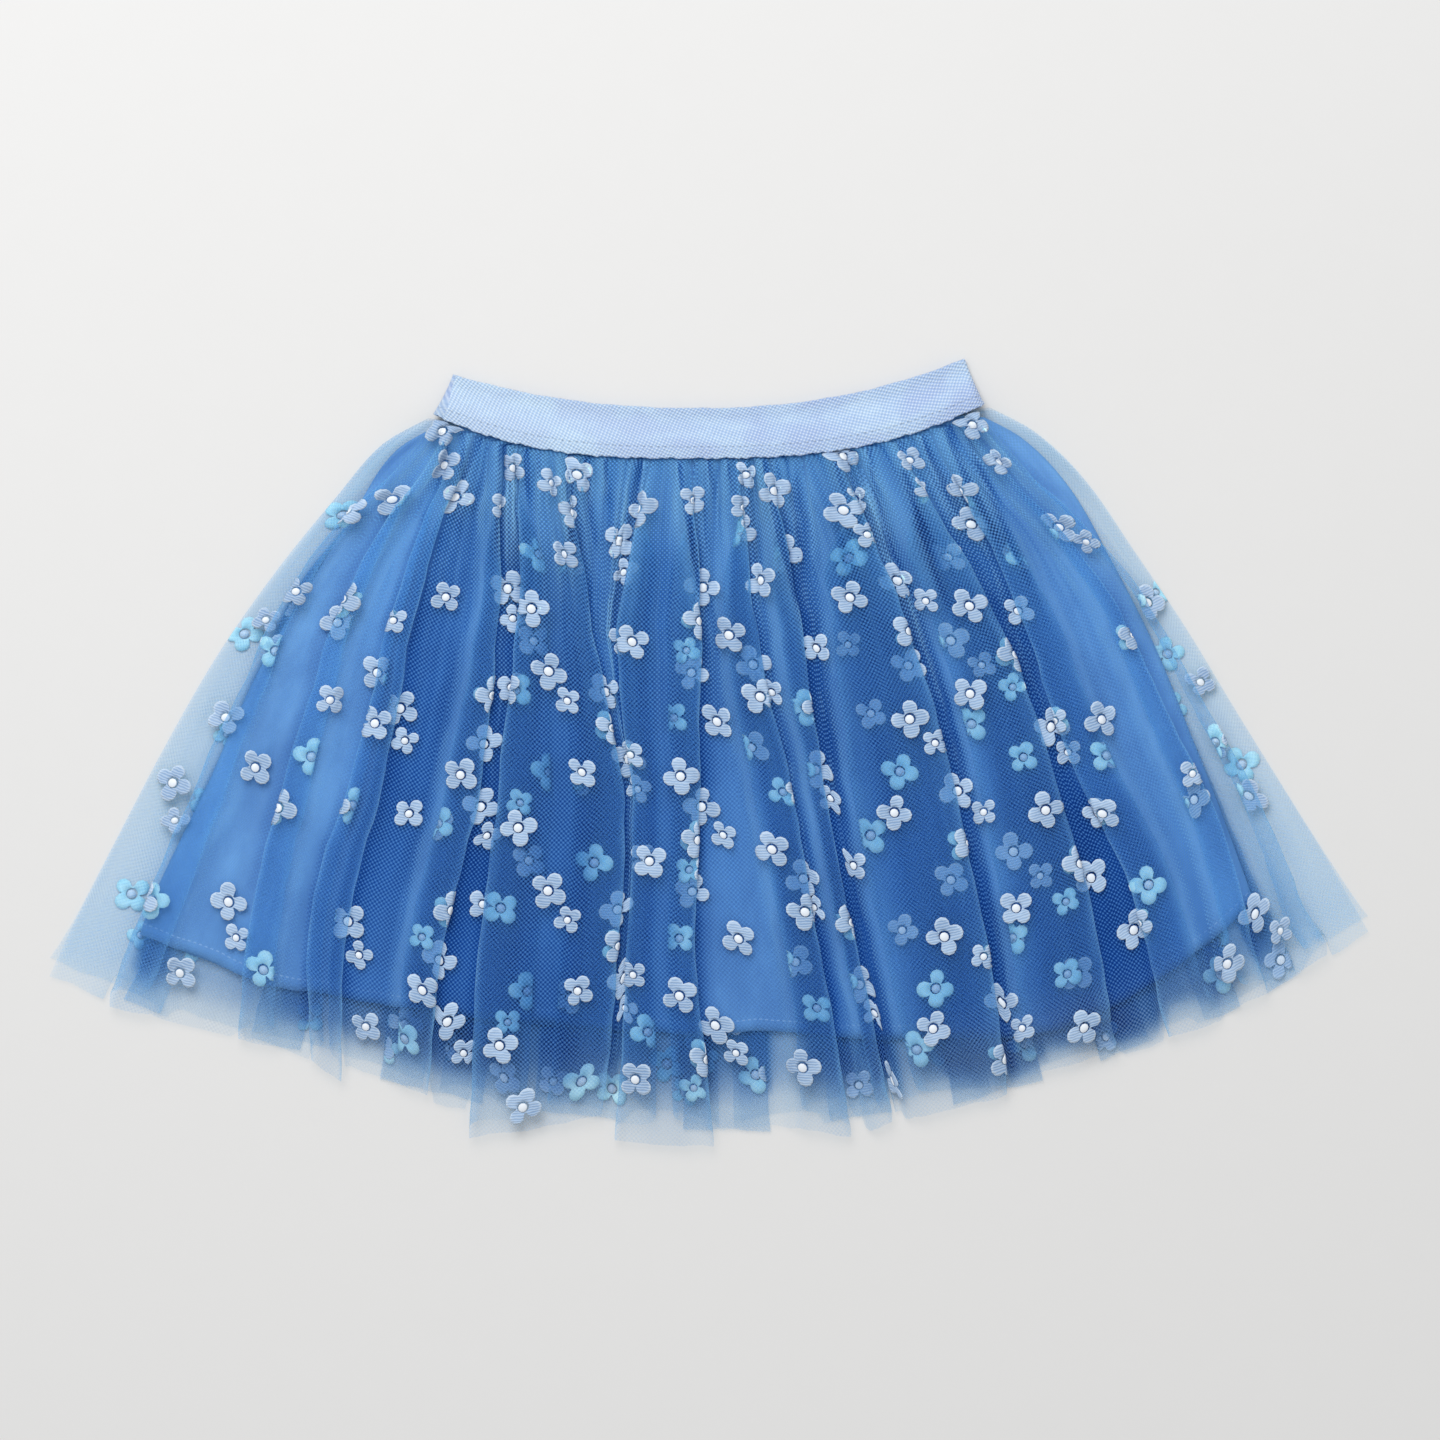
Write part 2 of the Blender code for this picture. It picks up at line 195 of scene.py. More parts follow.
def wander(at, seed):
    # a smooth uneven wave between about -1 and 1
    low, middle = np.sin(at + seed * 1.7), 0.6 * np.sin(at * 2.13 + seed * 3.1)
    return (low + middle + 0.4 * np.sin(at * 3.71 + seed * 5.3)) / 2


def readCurve(places, values, at):
    # a smooth curve through a short table
    places, values = np.asarray(places, float), np.asarray(values, float)
    last = len(places) - 1
    low, high = np.maximum(np.arange(last + 1) - 1, 0), np.minimum(np.arange(last + 1) + 1, last)
    slope = (values[high] - values[low]) / (places[high] - places[low])
    at = np.clip(at, places[0], places[-1])
    i = np.clip(np.searchsorted(places, at, side="right") - 1, 0, last - 1)
    step = places[i + 1] - places[i]
    u = (at - places[i]) / step
    return ((2 * u**3 - 3 * u**2 + 1) * values[i] + (u**3 - 2 * u**2 + u) * step * slope[i]
            + (3 * u**2 - 2 * u**3) * values[i + 1] + (u**3 - u**2) * step * slope[i + 1])


# the edges of the waistband dip at x, y and rise to each end: half width, x, y, left and right rise, power
seamEdge = (skirt["bandSeamHalf"], -9.0, 140.0, 21.0, 26.0, 2.8)
bandTopEdge = (skirt["bandTopHalf"], -5.0, 164.4, 16.0, 23.5, 2.2)


def edgeY(x, edge):
    half, lowX, lowY, leftRise, rightRise, power = edge
    x = np.clip(x, -half, half)
    left = leftRise * (np.maximum(lowX - x, 0.0) / (half + lowX)) ** power
    right = rightRise * (np.maximum(x - lowX, 0.0) / (half - lowX)) ** power
    return lowY + left + right


def seamY(x):
    return edgeY(x, seamEdge)


def sides(down):
    # left and right side folds of the net; inside the band the net is narrower
    tucked = skirt["bandSeamHalf"] - skirt["endRoom"]
    left = np.where(down <= 0, -tucked, readCurve(skirt["sideDown"], skirt["leftSide"], down))
    right = np.where(down <= 0, tucked, readCurve(skirt["sideDown"], skirt["rightSide"], down))
    return left, right


def placeY(x, down):
    left, right = sides(down)
    across = (x - left) / (right - left)
    waist = seamY(blend(-skirt["bandSeamHalf"], skirt["bandSeamHalf"], across))
    y = blend(waist, readCurve(skirt["hemAcross"], skirt["hemY"], across), down)
    return np.where(down > 0, y, seamY(x) - down * skirt["tuck"] / 0.02)


def lift(down):
    return 1 - ease(down / skirt["liftLength"])


# The linings, in millimetres; the flat sizes are those of the cloth that shows
lining = {
    "insetWaist": 6.0, "insetLeft": 27.0, "insetRight": 37.0, "insetPower": 1.6,
    "hemAcross": (0.0, 0.2, 0.35, 0.5, 0.65, 0.8, 0.9, 1.0),
    "hemDown": (0.878, 0.888, 0.862, 0.85, 0.875, 0.918, 0.905, 0.855),
    "folds": 7, "foldHeight": 0.7, "edgeMargin": 1.8,
    "columns": 220, "rows": 70, "wall": 0.35,
    "backZ": 1.8, "frontZ": 3.1,
    "hemDepth": 6.0, "leftTaper": 7.0, "flatWidth": 0.54, "flatLength": 0.30,
}
# soft creases in the front lining, in millimetres: from x, y to x, y, half width and depth
liningCreases = (
    (-196, 22, -262, -96, 7.0, 0.9), (-176, 66, -208, -18, 5.0, 0.7), (-222, -34, -236, -118, 5.5, 0.8),
    (-180, -24, -205, -112, 8.0, 0.7), (-150, 40, -163, -70, 6.0, 0.6), (-84, 60, -92, -120, 7.0, 0.6),
    (-20, 30, -6, -128, 9.0, 0.7), (14, 40, 22, -60, 6.0, 0.6), (38, -30, 34, -140, 6.0, 0.8),
    (120, 60, 150, -60, 8.0, 0.7), (166, 70, 204, -20, 6.0, 0.8), (190, -10, 222, -104, 7.0, 0.8),
    (214, 20, 262, -88, 6.0, 0.7),
)


def liningInset(down, most):
    return lining["insetWaist"] + most * np.maximum(0.0, down) ** lining["insetPower"]


def liningSides(down):
    left, right = sides(down)
    return left + liningInset(down, lining["insetLeft"]), right - liningInset(down, lining["insetRight"])


def liningDown(across):
    return readCurve(lining["hemAcross"], lining["hemDown"], across)


def liningAcross(x, down):
    left, right = liningSides(down)
    return np.clip((x - left) / (right - left), 0.0, 1.0)


# The two net panels. A "right" fold lies over to the right, a "left" one the other way, and a "box"
# fold shows both edges. Then its left and right edge at the waist, three steps and the hem, the
# crests on top of it and the small gathers after it.
frontFolds = (
    ("left", (-128.6, -193, -229, -261, -287.5), (-126, -186, -217, -244, -267), 1, 0),
    ("left", (-123, -171, -196.5, -217, -226), (-120.8, -163, -184, -202, -208), 1, 0),
    ("box", (-117.8, -149.5, -167.5, -190, -191.5), (-112.6, -138.5, -152.5, -171.5, -176.5), 1, 3),
    ("right", (-104, -111, -125.5, -143.5, -152), (-99, -100.5, -108, -125.5, -135), 1, 2),
    ("box", (-90.5, -92, -100.5, -110, -115.5), (-68.5, -56, -41, -43, -51), 3, 6),
    ("box", (-27, -44, -37.5, -39.5, -45.5), (-9, -3.5, -4.5, -5.5, 2.5), 3, 2),
    ("right", (5.5, 7, 20, 36.5, 43.5), (13.5, 23, 40, 54.5, 68.5), 1, 1),
    ("right", (22, 32.5, 47.5, 64, 80), (28, 44.5, 55.5, 72, 88), 1, 2),
    ("right", (45.5, 58, 67, 83, 98.5), (60.5, 93, 115.5, 132, 144), 2, 1),
    ("right", (70.5, 104, 125.5, 141, 153), (88, 132.5, 161, 182, 196), 2, 3),
    ("left", (106, 143.5, 168.5, 200.5, 220), (110.4, 158, 187.5, 221, 242), 1, 1),
    ("right", (118.4, 173.5, 207, 235, 253), (121.4, 180, 216.5, 247.5, 267), 1, 0),
    ("right", (124.2, 186.4, 225.5, 258.5, 283), (127.2, 190.4, 231.5, 267, 296), 1, 0),
)
backFolds = (
    ("left", (-127, -190, -224, -254, -281), (-124, -182, -212, -238, -262), 1, 1),
    ("right", (-113, -160, -186, -205, -221), (-107, -143, -163, -181, -196), 1, 2),
    ("box", (-92, -117, -133, -149, -158), (-76, -88, -94, -102, -108), 2, 2),
    ("left", (-60, -66, -71, -78, -84), (-49, -44, -40, -41, -43), 1, 2),
    ("box", (-34, -22, -16, -13, -12), (-18, 3, 18, 25, 30), 2, 3),
    ("right", (3, 25, 42, 51, 57), (12, 43, 68, 79, 88), 1, 2),
    ("box", (31, 66, 92, 106, 117), (49, 94, 126, 146, 160), 2, 2),
    ("left", (66, 114, 148, 170, 187), (76, 131, 167, 192, 211), 1, 1),
    ("right", (93, 148, 184, 213, 236), (101, 160, 199, 230, 255), 1, 1),
    ("left", (116, 175, 211, 242, 268), (120, 182, 221, 254, 283), 1, 0),
)
foldDown = (0.0, 0.25, 0.5, 0.75, 1.0)
# how far the cut hem of each front fold hangs below the plain curve at its left and right edge, and
# then that of the gap after it, in millimetres
hemHang = (
    (1.5, -1, -2), (-4, -4, -1), (-2, 6, -2.5), (-3, 1, 4), (17.5, -5, -9),
    (8.5, 6.5, -1.5), (-1, 5, -4), (3, 2, -2), (2, 0, -4), (-5, -4.5, -2),
    (-3, -1, -4), (-4, -4, -4), (-4, -3, 0),
)
# how strongly each fold shows: the ones near the sides are faint
frontFirm = (0.25, 0.4, 0.6, 0.9, 1, 1, 1, 1, 1, 0.9, 0.55, 0.35, 0.2)
# how deep the net lies in shade in the gap after each fold, at the waist, the middle and the hem
frontGaps = (
    (0.1, 0, 0.1), (0.2, 0.1, 0.2), (0.3, 0.75, 0.4), (0.95, 0.95, 0.5), (0.3, 0.4, 0.4),
    (0.45, 0.4, 0), (0.3, 0.4, 0.4), (0.5, 0.9, 0.7), (0.6, 1, 0.8), (0.5, 0.95, 0.8),
    (0.25, 0.25, 0.5), (0.1, 0.1, 0.2), (0.1, 0.1, 0.1),
)
backGaps = ((0.3, 0.2, 0.2),) * 10
backHang = tuple((drop, drop, 0) for drop in (2, 1, 4, 3, 5, 2, 4, 2, 1, 3))
gapDown = (0.0, 0.5, 1.0)
frontNet = {
    "front": True, "folds": frontFolds, "gaps": frontGaps, "hang": hemHang, "firm": frontFirm,
    "rows": 46, "rowPower": 1.35, "seed": 3.0,
    "plyDown": (0.0, 0.014, 0.035, 0.07, 1.0), "plyGap": (0.3, 0.9, 1.6, 1.75, 1.9), "plyGapInBand": 0.2,
    "gatherHeight": 2.4, "crestRise": 0.9, "crimp": 3.4, "gatherPitch": 12.0, "ripple": 0.75, "shorter": 0.0,
}
backNet = {
    "front": False, "folds": backFolds, "gaps": backGaps, "hang": backHang, "firm": (1.0,) * 10,
    "rows": 36, "rowPower": 1.3, "seed": 8.0,
    "plyDown": (0.0, 0.03, 1.0), "plyGap": (0.15, 0.28, 0.3), "plyGapInBand": 0.12,
    "gatherHeight": 0.7, "crestRise": 0.6, "crimp": 0.2, "gatherPitch": 11.5, "ripple": 0.05, "shorter": 5.0,
}
# creases between the gathers just under the band, in millimetres: across at the band, sideways lean
# at its lower end, start below the band, length, half width and depth from 0 to 1
creases = (
    (-124, -6, 6, 30, 1.6, 0.5), (-116.6, -3, 0, 50, 1.7, 0.6), (-108.5, -14, 0, 36, 1.7, 0.6),
    (-97.6, -2, 2, 56, 2.4, 1), (-88.3, 2, 0, 28, 1.6, 0.8), (-80.2, -1, 0, 17, 1.3, 0.5),
    (-67.7, 1, 0, 50, 1.7, 1), (-60, 6, 0, 46, 1.4, 0.7), (-50, 1, 0, 22, 1.4, 0.6),
    (-32.2, -15, 0, 88, 2.2, 1), (-14.6, 13, 2, 74, 1.8, 0.9), (-0.2, 2, 0, 18, 1.4, 0.8),
    (8.6, 5, 0, 26, 1.3, 0.6), (15.8, 6, 0, 52, 1.6, 0.7), (25.8, 21, 0, 88, 1.7, 0.9),
    (40.6, 3, 10, 40, 1.9, 0.5), (59, 6, 0, 24, 1.4, 0.5), (75.6, 12, 0, 58, 1.5, 1),
    (90.4, 24, 0, 92, 1.8, 0.8), (101.6, 23, 0, 58, 1.6, 0.9), (112.8, 27, 2, 68, 2.2, 0.9),
    (122, 30, 4, 80, 1.8, 0.6),
)
netShape = {
    "boxTuck": 0.42, "sideTuckShort": 0.8, "lieStart": 0.03, "lieLength": 0.15, "stepLean": 0.8,
    "corner": 0.4, "cornerLevel": 0.45, "spread": 0.2, "ramp": 4.2, "rampLength": 0.2,
    "gatherMargin": 1.6, "gatherFade": 0.2, "gatherSteepness": 0.9, "gatherLeast": 0.4,
    "sideSteps": (0.0, 0.3, 0.75), "hemRow": 0.87, "hemKnee": 0.02,
    "flatZ": 6.0, "seamZ": 6.3, "sideZ": 1.8, "backZ": 0.66,
    "startShares": (-0.02, -0.008), "weaveShift": 0.0137,
}
# the net's shade: beside a fold, under it, in the gathers and at the seam; lengths in millimetres
netShade = {
    "besideFar": 3.4, "besideNear": 2.0, "nearShare": 0.6, "veil": 0.18, "veilWander": 0.09, "tucked": 0.45,
    "boxMiddle": 0.42, "trough": 2.7, "seam": 0.25, "seamLength": 0.005,
    "hemFade": 0.92, "hemFadeLength": 0.65, "hemHidden": 0.5, "hemMark": 0.84, "hemMarkSide": 70.0,
    "sideHidden": 0.85, "sideWidth": 38.0, "waistLength": 0.2,
}
# how far each ply ends short of the cut hem, and the hem's small waves, in millimetres
hemShape = {"underShort": 12.0, "underWander": 4.0, "backShort": 4.0, "wave": 1.2, "ripple": 0.3}


def rowDown(share, liningHem):
    knee = liningHem + netShape["hemKnee"]
    hemRow = netShape["hemRow"]
    if share <= 0:
        return share
    if share <= hemRow:
        return share + (knee - hemRow) * (share / hemRow) ** 2
    return blend(knee, 1.0, (share - hemRow) / (1 - hemRow))


def groupDown(left, right, share):
    ends = [liningAcross(x, netShape["hemRow"]) for x in (left, right)]
    reach = max(liningDown(blend(*ends, k / 4)) for k in range(5))
    return float(rowDown(share, reach))


def plyGap(panel, down):
    return np.where(down < 0, panel["plyGapInBand"], readCurve(panel["plyDown"], panel["plyGap"], down))


def foldEdges(fold, down):
    return float(readCurve(foldDown, fold[1], down)), float(readCurve(foldDown, fold[2], down))


def overEdge(edge, toward, tuck, down):
    # from the top of a fold, over its edge and tucked back under it
    full = float(plyGap(frontNet, down)) / 2
    lean = min(full, max(0.0, tuck) / 4)
    spread = netShape["spread"] * (1 - lean / full)
    corner = max(lean, netShape["corner"])
    run, back = max(0.0, -tuck), max(0.0, tuck)
    places = (
        (-corner, 2.0), (0.2 * run, 2.0 - netShape["cornerLevel"]), (0.4 * run - lean, 1.0 + spread),
        (0.6 * run - back + lean, 1.0 - spread), (0.8 * run - back, netShape["cornerLevel"]),
        (run - back + corner, 0.0),
    )
    return [(edge + toward * x, level) for x, level in places]


def foldPoints(panel, fold, down):
    kind, crests = fold[0], fold[3]
    left, right = foldEdges(fold, down)
    width = right - left
    fullTuck = netShape["boxTuck"] * width if kind == "box" else width - netShape["sideTuckShort"]
    lying = float(ease((down - netShape["lieStart"]) / netShape["lieLength"]))
    tuck = blend(-netShape["stepLean"], fullTuck, lying)
    ramp = blend(netShape["stepLean"], netShape["ramp"], float(ease(down / netShape["rampLength"])))
    rise = panel["crestRise"] * math.exp(-max(0.0, down) / netShape["gatherFade"])
    count = 2 * crests - 1
    top = [(blend(left, right, (k + 1) / (count + 1)), 2.0 + (0.0 if k % 2 else rise)) for k in range(count)]
    leftEdge = overEdge(left, -1, tuck, down)[::-1]
    rightEdge = overEdge(right, 1, tuck, down)
    if kind == "right":
        leftEdge = [(left - ramp, 0.0), (left, 2.0)]
    if kind == "left":
        rightEdge = [(right, 2.0), (right + ramp, 0.0)]
    return [*leftEdge, *top, *rightEdge]


def foldReach(panel, fold, down):
    points = foldPoints(panel, fold, down)
    return min(p[0] for p in points), max(p[0] for p in points)


def smallGathers(panel, start, end, count, down):
    points = 2 * count + 1
    least = netShape["gatherLeast"] * points
    if end - start < least:
        middle = (start + end) / 2
        start, end = middle - least / 2, middle + least / 2
    pitch = (end - start) / points
    found = []
    for k in range(points):
        fade = netShape["gatherFade"] * (0.55 + 0.9 * abs(math.sin(start * 0.7 + k * 2.3)) if k % 2 else 1.0)
        height = panel["gatherHeight"] * math.exp(-max(0.0, down) / fade)
        height = min(height, netShape["gatherSteepness"] * pitch)
        level = min(height / float(plyGap(frontNet, down)), 2.0)
        found.append((blend(start, end, (k + 0.5) / points), level if k % 2 else 0.0))
    return found


def foldHang(panel, i, x, down):
    left, right = foldEdges(panel["folds"][i], down)
    atLeft, atRight = panel["hang"][i][:2]
    return blend(atLeft, atRight, min(max((x - left) / (right - left), 0.0), 1.0))


def netRow(panel, share):
    # one row from side to side, as x, place down the skirt, ply level, hem drop, shade and section
    folds = panel["folds"]
    # the painted shade of each gap at this row
    gapShades = [float(readCurve(gapDown, gap, max(0.0, share))) for gap in panel["gaps"]]
    downs = [groupDown(*foldEdges(fold, netShape["hemRow"]), share) for fold in folds]
    atSide = float(rowDown(share, max(liningDown(0.0), liningDown(1.0))))
    left, right = sides(atSide) if share > 0 else (-skirt["bandSeamHalf"], skirt["bandSeamHalf"])
    start, end = foldReach(panel, folds[0], downs[0])[0], foldReach(panel, folds[-1], downs[-1])[1]
    row = [(blend(left, start, step), atSide, 0.0, 0.0, 0.0, 0) for step in netShape["sideSteps"]]
    for i, fold in enumerate(folds):
        points = foldPoints(panel, fold, downs[i])
        for k, (x, level) in enumerate(points):
            gap = i - 1 if k < len(points) / 2 else i
            tone = 0.0 if level > 0.6 or gap < 0 else gapShades[gap]
            row.append((x, downs[i], level, foldHang(panel, i, x, downs[i]), tone, 2 * i + 1))
        if fold[4] and i + 1 < len(folds):
            start = foldReach(panel, fold, downs[i])[1] + netShape["gatherMargin"]
            finish = foldReach(panel, folds[i + 1], downs[i + 1])[0] - netShape["gatherMargin"]
            small = smallGathers(panel, start, finish, fold[4], downs[i])
            for k, (x, level) in enumerate(small):
                down = blend(downs[i], downs[i + 1], k / (len(small) - 1))
                row.append((x, down, level, panel["hang"][i][2], gapShades[i], 2 * i + 2))
    steps = reversed(netShape["sideSteps"])
    row += [(blend(right, end, step), atSide, 0.0, 0.0, 0.0, 2 * len(folds)) for step in steps]
    return np.array(row, float)


def cutCorners(row):
    # rounds a row of points: each stretch between two points gives two new ones
    first = row[:-1] * 0.75 + row[1:] * 0.25
    second = row[:-1] * 0.25 + row[1:] * 0.75
    inner = np.stack([first, second], axis=1).reshape(-1, row.shape[1])
    return np.concatenate([row[:1], inner, row[-1:]])


def flatZ(x, down, pastHem):
    # middle of the front net where it lies flat: over the lining, and down on the back net past it
    left, right = sides(down)
    low = netShape["sideZ"] + skirt["seamLift"] * lift(down)
    high = blend(netShape["flatZ"], netShape["seamZ"], lift(down))
    fromLeft = (x - left) / (liningInset(down, lining["insetLeft"]) - lining["edgeMargin"])
    fromRight = (right - x) / (liningInset(down, lining["insetRight"]) - lining["edgeMargin"])
    over = ease(np.minimum(fromLeft, fromRight)) * (1 - pastHem)
    return np.where(down <= 0, high, blend(low, high, over))


def foldMarks(panel, x, down, level):
    # per point: the shade beside a fold, how far a tucked ply is hidden, whether it lies in a fold,
    # how strongly that fold shows and how near the middle of a box fold it is
    shadow, hidden, inFold, firm, boxMiddle = (0 * x for _ in range(5))
    for i, (kind, leftEdge, rightEdge, *_) in enumerate(panel["folds"]):
        strength = panel["firm"][i]
        left, right = readCurve(foldDown, leftEdge, down), readCurve(foldDown, rightEdge, down)
        uneven = (0.65 + 0.35 * wander(down * 14 + i * 2.0, panel["seed"])) * strength
        # the flat ply is darkest where it comes out from under a fold's edge
        if kind != "left":
            far = np.exp(-np.maximum(x - right, 0) / netShade["besideFar"])
            shadow = np.maximum(shadow, uneven * far * (x > right - 1.5))
        if kind != "right":
            near = np.exp(-np.maximum(left - x, 0) / netShade["besideNear"])
            shadow = np.maximum(shadow, netShade["nearShare"] * uneven * near * (x < left + 1.5))
        # the plies tucked under a fold come and go softly
        reach = (right - left) * (netShape["boxTuck"] if kind == "box" else 1.0)
        inward = {"box": np.minimum(x - left, right - x), "right": right - x, "left": x - left}[kind] / reach
        beneath = (x > left - 1.0) * (x < right + 1.0) * np.clip(1.7 - level, 0, 1)
        start = 1 - ease((down - 0.02 - 0.03 * math.sin(i * 2.3)) / 0.16)
        clear = np.maximum(np.maximum(ease((inward - 0.4) / 0.6), start), 1 - strength)
        hidden = np.maximum(hidden, beneath * clear)
        within = ease((x - left + 1.5) / 2.0) * ease((right - x + 1.5) / 2.0)
        if kind == "box":
            topPly = np.clip(2 * level - 2.6, 0, 1) * (x > left) * (x < right)
            boxMiddle = np.maximum(boxMiddle, ease((inward - 0.35) / 0.6) * topPly)
        inFold = np.maximum(inFold, within)
        firm = np.maximum(firm, within * strength)
    return shadow, hidden, inFold, firm, boxMiddle


def bandCreases(x, below):
    # the troughs between the gathers, the cloth that swells beside them and the rim it turns over
    # the troughs and swells shape the cloth, and the finish paints shade into the troughs and highlights onto
    # the swells and rims
    trough, flank, rim = 0 * x, 0 * x, 0 * x
    for at, lean, start, length, width, depth in creases:
        part = np.clip((below - start) / length, 0, 1)
        there = (below > start - 3) * ease((below - start + 3) / 5) * (1 - part) ** 0.5 * depth
        # sharp on the side of the gather that lies over it, soft on the other
        off = (x - at - lean * part ** 1.25) / (width * (0.8 + 0.5 * part)) * (1 if lean >= 0 else -1)
        swell = 0.7 * np.exp(-((off + 2.0) / 1.2) ** 2) + 0.3 * np.exp(-((off - 3.0) / 1.2) ** 2)
        trough = np.maximum(trough, there * np.exp(-(off / np.where(off < 0, 0.45, 1.25)) ** 2))
        flank = np.maximum(flank, there * swell)
        rim = np.maximum(rim, there * np.exp(-((off + 0.75) / 0.3) ** 2))
    return trough, flank, rim


def gridNormals(points):
    normals = -np.cross(np.gradient(points, axis=1), np.gradient(points, axis=0))
    return normals / np.maximum(np.linalg.norm(normals, axis=2, keepdims=True), 1e-12)


def foldCrease(normals, down):
    # the cloth is denser to look through where it turns over an edge, and the finish paints a pale highlight
    # line there
    crease = np.clip(1.25 * (1 - np.abs(normals[:, :, 2])), 0, 1)
    for _ in range(2):
        near = np.pad(crease, ((0, 0), (1, 1)), mode="edge")
        crease = np.maximum(crease, 0.8 * np.maximum(near[:, :-2], near[:, 2:]))
    return crease * ease((down - 0.004) / 0.05)


def clothLengths(points, down, section):
    # lengths across and down the cloth, and across for the weave: those are measured from the middle
    # of each fold and each gap, so the mesh keeps its true size
    rows, columns = points.shape[:2]
    steps = np.linalg.norm(np.diff(points, axis=1), axis=2)
    arc = np.concatenate([np.zeros((rows, 1)), np.cumsum(steps, axis=1)], axis=1)
    section = np.round(section[0]).astype(int)
    centre = np.array([int(np.mean(np.flatnonzero(section == number))) for number in section])
    weave = arc - np.take_along_axis(arc, centre[None, :] + 0 * arc.astype(int), axis=1)
    weave = weave + section[None, :] * netShape["weaveShift"]
    fall = np.concatenate([[0], np.cumsum(np.abs(np.diff(down[:, columns // 2])))]) * skirt["cutLength"]
    drops = np.linalg.norm(np.diff(points, axis=0), axis=2)
    falls = np.concatenate([np.zeros((1, columns)), np.cumsum(drops, axis=0)])
    return {"arc": arc, "weave": weave, "fall": fall, "falls": falls}


def netPanel(panel):
    # the whole panel: its points and normals, lengths along the cloth and the marks that its finish reads
    rows = [(k / panel["rows"]) ** panel["rowPower"] for k in range(panel["rows"] + 1)]
    shares = [*netShape["startShares"], *rows]
    grid = np.array([cutCorners(cutCorners(netRow(panel, share))) for share in shares])
    x, down, level, drop, tone, section = np.moveaxis(grid, 2, 0)
    waistX = x[2][None, :] + 0 * x
    seed, front = panel["seed"], panel["front"]
    past = np.clip((np.array(shares)[:, None] + 0 * x - netShape["hemRow"]) / (1 - netShape["hemRow"]), 0, 1)
    reached = np.clip(down, 0, 1)
    shadow, hidden, inFold, firm, boxMiddle = foldMarks(panel, x, down, level)

    # across and down: a little uneven, with the hem hanging lower or higher from fold to fold
    x = np.where(down <= 0, x * (skirt["bandSeamHalf"] - skirt["endRoom"]) / skirt["bandSeamHalf"], x)
    inside = ease(np.minimum(x - sides(down)[0], sides(down)[1] - x) / 12.0)
    sway = 0.9 * wander(down * 17 + x * 0.012, seed) + 0.5 * wander(down * 41 + x * 0.03, seed + 2)
    x = x + inside * ease(down / 0.1) * sway
    y = placeY(x, down) - drop * reached ** 6
    hemWave = hemShape["wave"] * wander(x * 0.09, seed)
    y = y + (hemWave + hemShape["ripple"] * wander(x * 0.43 + level, seed + 5)) * reached ** 6
    # the plies underneath stop a little short of the top ply at the cut hem
    if front:
        under = hemShape["underShort"] + hemShape["underWander"] * wander(x * 0.05, seed + 6)
        under = inFold * np.clip(1.7 - level, 0, 1) * under
    else:
        under = hemShape["backShort"] * np.clip(1 - level, 0, 1)
    y = y + (under + panel["shorter"]) * reached ** 12
    fromSide = np.minimum(x - sides(down)[0], sides(down)[1] - x)

    # gathers under the band: soft tubes with sharp creases between them, uneven in width and length
    turn = waistX * math.pi / panel["gatherPitch"] + 1.9 * wander(waistX * 0.11, seed)
    ridge = np.abs(np.sin(turn)) ** 0.6
    gather = np.floor(turn / math.pi + 0.5)
    fade = np.exp(-np.maximum(down, 0) / (0.12 + 0.1 * np.sin(gather * 2.4 + seed)))
    roll = 0.45 * ease((down + 0.002) / 0.012) * np.exp(-np.maximum(down, 0) / 0.07)
    crimp = panel["crimp"] * (ridge * fade * ease((down + 0.004) / 0.02) + roll)
    ripple = wander(waistX * 0.33 + 1.5 * wander(down * 5, seed), seed + 4)
    ripple = panel["ripple"] * ripple * ease(down / 0.1)
    # painted shade in the valleys between the gathers
    valleyShade = (1 - ridge) ** 2.6 * fade * (0.65 + 0.35 * np.sin(gather * 4.1 + seed))
    trough, flank, rim = bandCreases(x, seamY(x) - y) if front else (0 * x, 0 * x, 0 * x)

    # inside a fold the top ply is a light veil and the plies below it hold most of the shade
    leaning = netShade["veil"] + netShade["veilWander"] * wander(x * 0.045 + down * 1.5, seed + 7)
    leaning = leaning + netShade["tucked"] * np.clip(1 - level, 0, 1)
    folded = (leaning * firm + netShade["boxMiddle"] * boxMiddle) * ease(down / 0.2)
    seamShade = netShade["seam"] * np.exp(-np.maximum(down, 0) / netShade["seamLength"])
    gapShaded = tone * ease((down + 0.02) / 0.12)
    fadeFrom = 0.12 + 0.22 * ease((x - 90) / 60.0) * (1 - ease((x - 230) / 40.0))
    fading = 1 - netShade["hemFade"] * ease((past - fadeFrom) / netShade["hemFadeLength"])
    shade = (gapShaded + folded + shadow * np.clip(1.5 - 2 * level, 0, 1)) * fading
    # painted shade in the gathers' valleys and troughs and just under the seam
    shade = np.clip(shade + valleyShade + netShade["trough"] * trough + seamShade, 0, 1)
    hidden = hidden * (1 - np.clip(2 * trough + valleyShade, 0, 1))
    nearSide = netShade["sideHidden"] * (1 - ease(fromSide / netShade["sideWidth"])) * (1 - 0.8 * down)
    nearHem = netShade["hemHidden"] * ease((past - 0.3) / 0.7) * np.clip(2 - level, 0, 1)
    hidden = np.maximum(np.maximum(hidden, nearSide), nearHem)
    # painted highlight on the tops of the gathers, on the cloth swelling beside the creases and on their rims
    crownHighlight = np.clip(0.5 * np.clip(ridge - 0.55, 0, 1) / 0.45 * fade + flank, 0, 1) * (1 - trough) + 0.9 * rim

